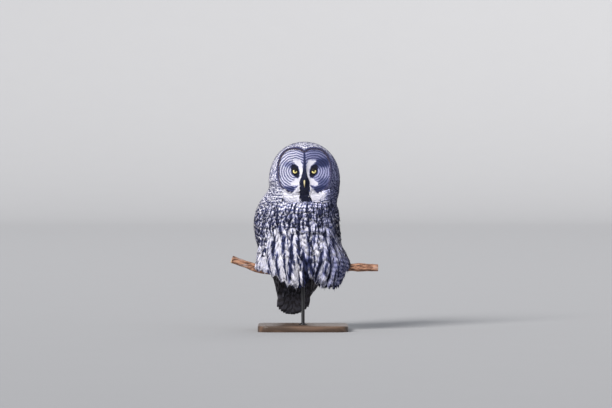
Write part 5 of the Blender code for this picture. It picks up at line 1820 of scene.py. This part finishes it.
class OWL_OT_eyes(bpy.types.Operator):
    """Makes both eyeballs, with domed corneas, and the dark lids round them"""

    bl_idname = "owl.eyes"
    bl_label = "Eyes"

    def execute(self, context):
        lids = []
        for side, word in ((-1, "right"), (1, "left")):
            centre = eye_centre(side)
            tilt = np.radians(np.linspace(2.0, 176.0, 44))[:, None]
            around = turns(48)[None, :]
            dome = EYE_RADIUS + 0.0007 * smooth((math.radians(40) - tilt) / math.radians(24))
            x, z = dome * np.sin(tilt) * np.cos(around), dome * np.sin(tilt) * np.sin(around)
            rings = np.stack([x, -dome * np.cos(tilt) + 0 * around, z], -1) + centre
            eye = build(f"eyeball_{word}", *closed(rings), eye_finish(centre, word))
            settle(eye, "eye", f"eye_{word}")
            lids.append(self.lid(centre, side))
        finish = Finish("lid", Roughness=0.6, Specular_IOR_Level=0.2)
        finish.speckle(900.0, 2.0, (0.003, 0.003, 0.004), (0.010, 0.009, 0.011), 0.0003)
        settle(build("eyelids", *joined(lids), finish.material), "eye")
        return {"FINISHED"}

    def lid(self, centre, side):
        """A ring of flat ellipses that hugs the ball. The upper lid hangs to the pupil, lowest
        towards the bill."""
        around = turns(64)[:, None]
        section = turns(14)[None, :]
        high = smooth(np.sin(around - side * math.radians(20)) * 1.15)
        opening = EYE_OPENING - 0.0003 - 0.0033 * high
        reach = opening + 0.0016 + 0.0017 * high
        reach_half = 0.0019 + 0.0017 * high
        r = reach + reach_half * np.cos(section)
        y = -np.sqrt(np.clip((EYE_RADIUS + 0.0005) ** 2 - reach**2, 0, None))
        forward = y - 0.0010 * np.sin(section) + 0.9 * (r - reach) * reach / -y
        points = np.stack([r * np.cos(around), forward, r * np.sin(around)], -1) + centre
        return points.reshape(-1, 3), ring_quads(*points.shape[:2], loop=True)


def eye_finish(centre, word):
    """A yellow iris with fine rays and a dark edge and a black pupil, by distance from the axis."""
    gloss = dict(Roughness=0.12, Specular_IOR_Level=0.2, Coat_Weight=0.7, Coat_Roughness=0.03)
    finish = Finish(f"eye {word}", **gloss)
    _, (x, y, z) = finish.place()
    dx, dz = x - float(centre[0]), z - float(centre[2] + PUPIL_RISE)
    away = (dx * dx + dz * dz) ** 0.5
    turn = dz.math("ARCTAN2", dx)
    rays = finish.noise(finish.vector(turn * 5.0, away * 260, 0.0), 1.0, 3.0)
    iris = finish.ramp(
        away / EYE_RADIUS + (rays - 0.5) * 0.10,
        (0.0, (0.52, 0.33, 0.04)),
        (0.26, (0.74, 0.61, 0.19)),
        (0.52, (0.81, 0.73, 0.35)),
        (0.66, (0.30, 0.20, 0.03)),
    )
    colour = finish.mix(away.step(0.0029, 0.0026), iris, (0.0005, 0.0005, 0.0008))
    colour = finish.mix(away.step(0.0070, 0.0076), colour, (0.02, 0.02, 0.02))
    finish.feed(Base_Color=colour)
    return finish.material


def bill_line(steps):
    """Forward from the face by a sine and down by a power of the share of its length."""
    root = face_point(np.array(0.0), np.array(BILL_TOP - 0.008))
    t = np.linspace(0, 1, steps)
    y = root[1] + 0.010 - BILL_REACH * np.sin(t * BILL_HOOK)
    z = root[2] + 0.003 - (BILL_TOP - BILL_TIP - 0.003) * t**1.9
    return np.stack([np.full(steps, HEAD_X), y, z], -1)


class OWL_OT_bill(bpy.types.Operator):
    """Makes the two halves of the hooked bill"""

    bl_idname = "owl.bill"
    bl_label = "Bill"

    def execute(self, context):
        steps, low_steps = 40, 26
        t = np.linspace(0, 1, steps)
        radii = 0.82 * BILL_HALF_WIDTH * np.clip(1 - t**2.2, 0, 1) ** 0.75 + 0.0004
        line = bill_line(steps)
        turn = turns(28)
        keel = 1 + 0.10 * np.clip(np.cos(turn), 0, 1)[None, :] ** 6
        waist = 1 - 0.10 * bump(np.abs(np.sin(turn)), 1, 0.4)[None, :] * smooth(t * 2)[:, None]
        upper = closed(tube_rings(line, radii[:, None] * keel * waist, 28, 0.58, WIDE))
        low_t = t[:low_steps]
        drop = np.stack([0 * low_t, 0 * low_t + 0.0035, -0.0058 - 0.002 * low_t], -1)
        low_radii = radii[:low_steps] * 0.74 * (1 - 0.4 * low_t)
        low_radii = low_radii * (1 - 0.9 * smooth((low_t - 0.35) / 0.32))
        lower = closed(tube_rings(line[:low_steps] + drop, low_radii, 24, 0.8, WIDE))
        finish = Finish("bill", Roughness=0.38)
        socket, (x, y, z) = finish.place()
        grain = finish.noise(socket, 420.0, 3.0)
        tip = z.step(EYE_HEIGHT - 0.030, EYE_HEIGHT - 0.040)
        colour = finish.mix(grain, (0.56, 0.47, 0.24), (0.72, 0.64, 0.38))
        colour = finish.mix(tip * 0.75, colour, (0.30, 0.24, 0.12))
        finish.feed(Base_Color=colour, Roughness=0.30 + 0.2 * grain)
        finish.raise_by(grain, 0.0002)
        settle(build("bill_top", *upper, finish.material), "bill", "bill_upper")
        settle(build("bill_under", *lower, finish.material), "bill", "bill_lower")
        return {"FINISHED"}


class OWL_OT_claws(bpy.types.Operator):
    """Makes the eight curved claws"""

    bl_idname = "owl.claws"
    bl_label = "Claws"

    def execute(self, context):
        shapes, nodes = [], []
        t = np.linspace(0, 1, 22)
        sizes = CLAW_RADIUS * (1 - t**1.3) + 0.00025
        for side, word in ((-1, "right"), (1, "left")):
            for toe in TOES:
                span = abs(toe[4] - toe[3])
                start = 1 - 8 / span
                end = 1 + (CLAW_TURN + 1) / span
                line = toe_line(side * LEG_SPACING / 2, side, toe, start, end, 22)
                shapes.append(closed(tube_rings(line, sizes, 16, 1.15, WIDE)))
                nodes.append(f"claw_{word}_{toe[0]}")
        finish = Finish("claw", Roughness=0.3)
        finish.speckle(500.0, 3.0, (0.016, 0.014, 0.014), (0.060, 0.052, 0.050), 0.0002)
        settle(build("claws", *joined(shapes), finish.material), "claw", *nodes)
        return {"FINISHED"}


class OWL_OT_perch(bpy.types.Operator):
    """Makes the cut branch with its bark, knots and sawn ends"""

    bl_idname = "owl.perch"
    bl_label = "Branch"

    def execute(self, context):
        steps, sides = 320, 72
        x = np.linspace(PERCH_LEFT, PERCH_RIGHT, steps)
        path = np.stack([x, PERCH_Y + PERCH_SWAY * np.sin(x * 31), PERCH_Z + perch_height(x)], -1)
        radii = PERCH_RADIUS * (1 + 0.07 * (x - PERCH_LEFT)) + 0.0002 * np.sin(x * 90)
        for at, height, reach in KNOTS:
            radii = radii + height * bump(x, at, reach)
        turn = turns(sides)[None, :]
        relief = self.relief(x[:, None], turn)
        ends = smooth((x - PERCH_LEFT) / 0.0012) * smooth((PERCH_RIGHT - x) / 0.0012)
        ends = ends[:, None]
        body = tube_rings(path, radii[:, None] + relief * ends - 0.0004 * (1 - ends), sides)
        first, last = [
            [ring.mean(0) + (ring - ring.mean(0)) * share for share in (0.15, 0.45, 0.75)]
            for ring in (body[0], body[-1])
        ]
        points, faces = closed(np.concatenate([first, body, last[::-1]]))
        settle(build("branch", points, faces, bark_finish()), "bark", "perch")
        return {"FINISHED"}

    def relief(self, x, turn):
        """Ridges of bark: sines of the turn and the length that drift against each other, with the
        sharper side kept, and rings close together where scars cross it."""
        wave = np.sin(7 * turn + 2.2 * np.sin(x * 38) + x * 60) + 0.6 * np.sin(13 * turn - x * 150)
        fine = np.sin(23 * turn + 3 * np.sin(x * 120)) * np.sin(x * 410 + 2 * np.sin(3 * turn))
        scars = bump(np.sin(x * 74 + 0.8 * np.sin(turn * 2)), 1.0, 0.05)
        return 0.00034 * np.abs(wave) + 0.00016 * fine - 0.00042 * scars


def bark_finish():
    """Red-brown bark in flakes along the branch, worn pale in patches, with rings on its sawn ends.
    """
    s = bpy.context.scene.owl_perch
    finish = Finish("bark", Roughness=0.85)
    socket, (x, y, z) = finish.place()
    flakes = finish.noise(finish.vector(x * 55, y * 330, z * 330), 1.0, 5.0, 0.6)
    slow = finish.noise(finish.vector(x * 24, y * 70, z * 70), 1.0, 2.0)
    fine = finish.noise(socket, 900.0, 3.0)
    cracks = flakes.step(0.47, 0.40)
    colour = finish.mix(flakes.step(0.42, 0.66) * 0.8, tuple(s.bark), tuple(s.light))
    colour = finish.mix(slow.step(0.52, 0.70) * 0.55, colour, (0.42, 0.36, 0.36))
    colour = finish.mix(cracks * 0.85, colour, (0.022, 0.012, 0.009))
    near, far = 0.0002, 0.0006
    ends = x.step(PERCH_LEFT + far, PERCH_LEFT + near)
    ends = ends + x.step(PERCH_RIGHT - far, PERCH_RIGHT - near)
    rise = z - (PERCH_Z + 0.012)
    away = ((y - PERCH_Y) * (y - PERCH_Y) + rise * rise * 0.6) ** 0.5
    rings = ((away / 0.0011 + fine * 0.8) * WAVE).sin().step(-0.3, 0.8)
    wood = finish.mix(rings * 0.6, (0.62, 0.44, 0.27), (0.38, 0.22, 0.12))
    finish.feed(Base_Color=finish.mix(ends, colour, wood))
    finish.raise_by(flakes * (1 - cracks * 0.6) + fine * 0.25, 0.0012, 0.8)
    return finish.material


class OWL_OT_stand(bpy.types.Operator):
    """Makes the plain wooden base and the rod that holds the branch"""

    bl_idname = "owl.stand"
    bl_label = "Stand"

    def execute(self, context):
        e = BASE_EDGE
        rise = np.radians(np.linspace(0, 90, 7))
        insets = np.concatenate([[0.0006, 0.0], e * (1 - np.cos(rise))])
        heights = np.concatenate([[0.0, 0.0006], BASE_HEIGHT - e + e * np.sin(rise)])
        rings = [self.outline(inset, height) for inset, height in zip(insets, heights)]
        middle = np.array([0, 0, BASE_HEIGHT])
        top = [middle + (rings[-1] - middle) * (s, s, 1) for s in (0.8, 0.5, 0.2)]
        base = build("stand_foot", *closed(np.array(rings + top)), wood_finish())
        settle(base, "stand_wood", "stand_base")
        high = PERCH_Z + float(perch_height(0.0)) - PERCH_RADIUS * 0.92
        steps = np.array([0.0, 0.0012, 0.0022, 0.0030, 0.0038, 0.0042])
        collar = (0.0110, 0.0112, 0.0106, 0.0086, 0.0052, ROD_RADIUS)
        shaft = np.linspace(BASE_HEIGHT + 0.005, high, 24)
        z = np.concatenate([BASE_HEIGHT + steps, shaft])[:, None]
        r = np.concatenate([collar, np.full(24, ROD_RADIUS)])[:, None]
        around = turns(48)[None, :]
        rings = np.stack([r * np.cos(around), PERCH_Y + r * np.sin(around), z + 0 * around], -1)
        finish = Finish("rod", Roughness=0.36, Metallic=0.85)
        socket, (x, y, z) = finish.place()
        brush = finish.noise(finish.vector(x * 300, y * 300, z * 2600), 1.0, 2.0)
        colour = finish.mix(brush, (0.035, 0.035, 0.038), (0.075, 0.075, 0.080))
        finish.feed(Base_Color=colour, Roughness=0.28 + 0.2 * brush)
        finish.raise_by(brush, 0.0001)
        settle(build("stand_post", *closed(rings), finish.material), "stand_metal", "stand_rod")
        return {"FINISHED"}

    def outline(self, inset, height):
        """A level rectangle with round corners, drawn in by inset."""
        turn = np.radians(np.arange(4)[:, None] * 90 + np.linspace(0, 90, 16)[None, :])
        sx, sy = np.array([1, -1, -1, 1])[:, None], np.array([1, 1, -1, -1])[:, None]
        corner = BASE_CORNER - inset
        x = sx * (BASE_WIDTH / 2 - BASE_CORNER) + corner * np.cos(turn)
        y = sy * (BASE_DEPTH / 2 - BASE_CORNER) + corner * np.sin(turn)
        return np.stack([x, y, np.full(turn.shape, height)], -1).reshape(-1, 3)


def wood_finish():
    """Dark oiled wood: long wavering rings along X with pores."""
    s = bpy.context.scene.owl_perch
    finish = Finish("base wood", Roughness=0.42)
    socket, (x, y, z) = finish.place()
    sway = finish.noise(finish.vector(x * 5, y * 16, z * 16), 1.0, 3.0)
    grain = ((y * 130 + sway * 7 + z * 60) * WAVE / 3).sin().step(-1.0, 1.0)
    pores = finish.noise(finish.vector(x * 40, y * 900, z * 900), 1.0, 2.0).step(0.55, 0.72)
    wood = tuple(s.wood)
    colour = finish.mix(grain, wood, tuple(min(c * 2.1, 1) for c in wood))
    colour = finish.mix(pores * 0.6, colour, tuple(c * 0.35 for c in wood))
    finish.feed(Base_Color=colour, Roughness=0.36 + 0.14 * pores)
    finish.raise_by(grain * 0.3 - pores, 0.0003, 0.5)
    return finish.material


PIECES = (
    OWL_OT_stage,
    OWL_OT_skin,
    OWL_OT_face,
    OWL_OT_crown,
    OWL_OT_neck,
    OWL_OT_breast,
    OWL_OT_belly,
    OWL_OT_back,
    OWL_OT_wings,
    OWL_OT_tail,
    OWL_OT_legs,
    OWL_OT_eyes,
    OWL_OT_bill,
    OWL_OT_claws,
    OWL_OT_perch,
    OWL_OT_stand,
)
GROUPS = (("owl_plumage", OwlPlumage), ("owl_stage", OwlStage), ("owl_perch", OwlPerch))


class OWL_PT_panel(bpy.types.Panel):
    """Lists the owl's settings and pieces"""

    bl_idname = "OWL_PT_panel"
    bl_label = "Great Grey Owl"
    bl_space_type = "VIEW_3D"
    bl_region_type = "UI"
    bl_category = "Owl"

    def draw(self, context):
        for group, kind in GROUPS:
            box = self.layout.box()
            for prop in kind.__annotations__:
                box.prop(getattr(context.scene, group), prop)
        for piece in PIECES:
            self.layout.operator(piece.bl_idname)


def register():
    for group, kind in GROUPS:
        bpy.utils.register_class(kind)
        setattr(bpy.types.Scene, group, bpy.props.PointerProperty(type=kind))
    for piece in PIECES:
        bpy.utils.register_class(piece)
    bpy.utils.register_class(OWL_PT_panel)


def unregister():
    bpy.utils.unregister_class(OWL_PT_panel)
    for piece in reversed(PIECES):
        bpy.utils.unregister_class(piece)
    for group, kind in reversed(GROUPS):
        delattr(bpy.types.Scene, group)
        bpy.utils.unregister_class(kind)


def main():
    register()
    for piece in PIECES:
        group, name = piece.bl_idname.split(".")
        getattr(getattr(bpy.ops, group), name)()


if __name__ == "__main__":
    main()
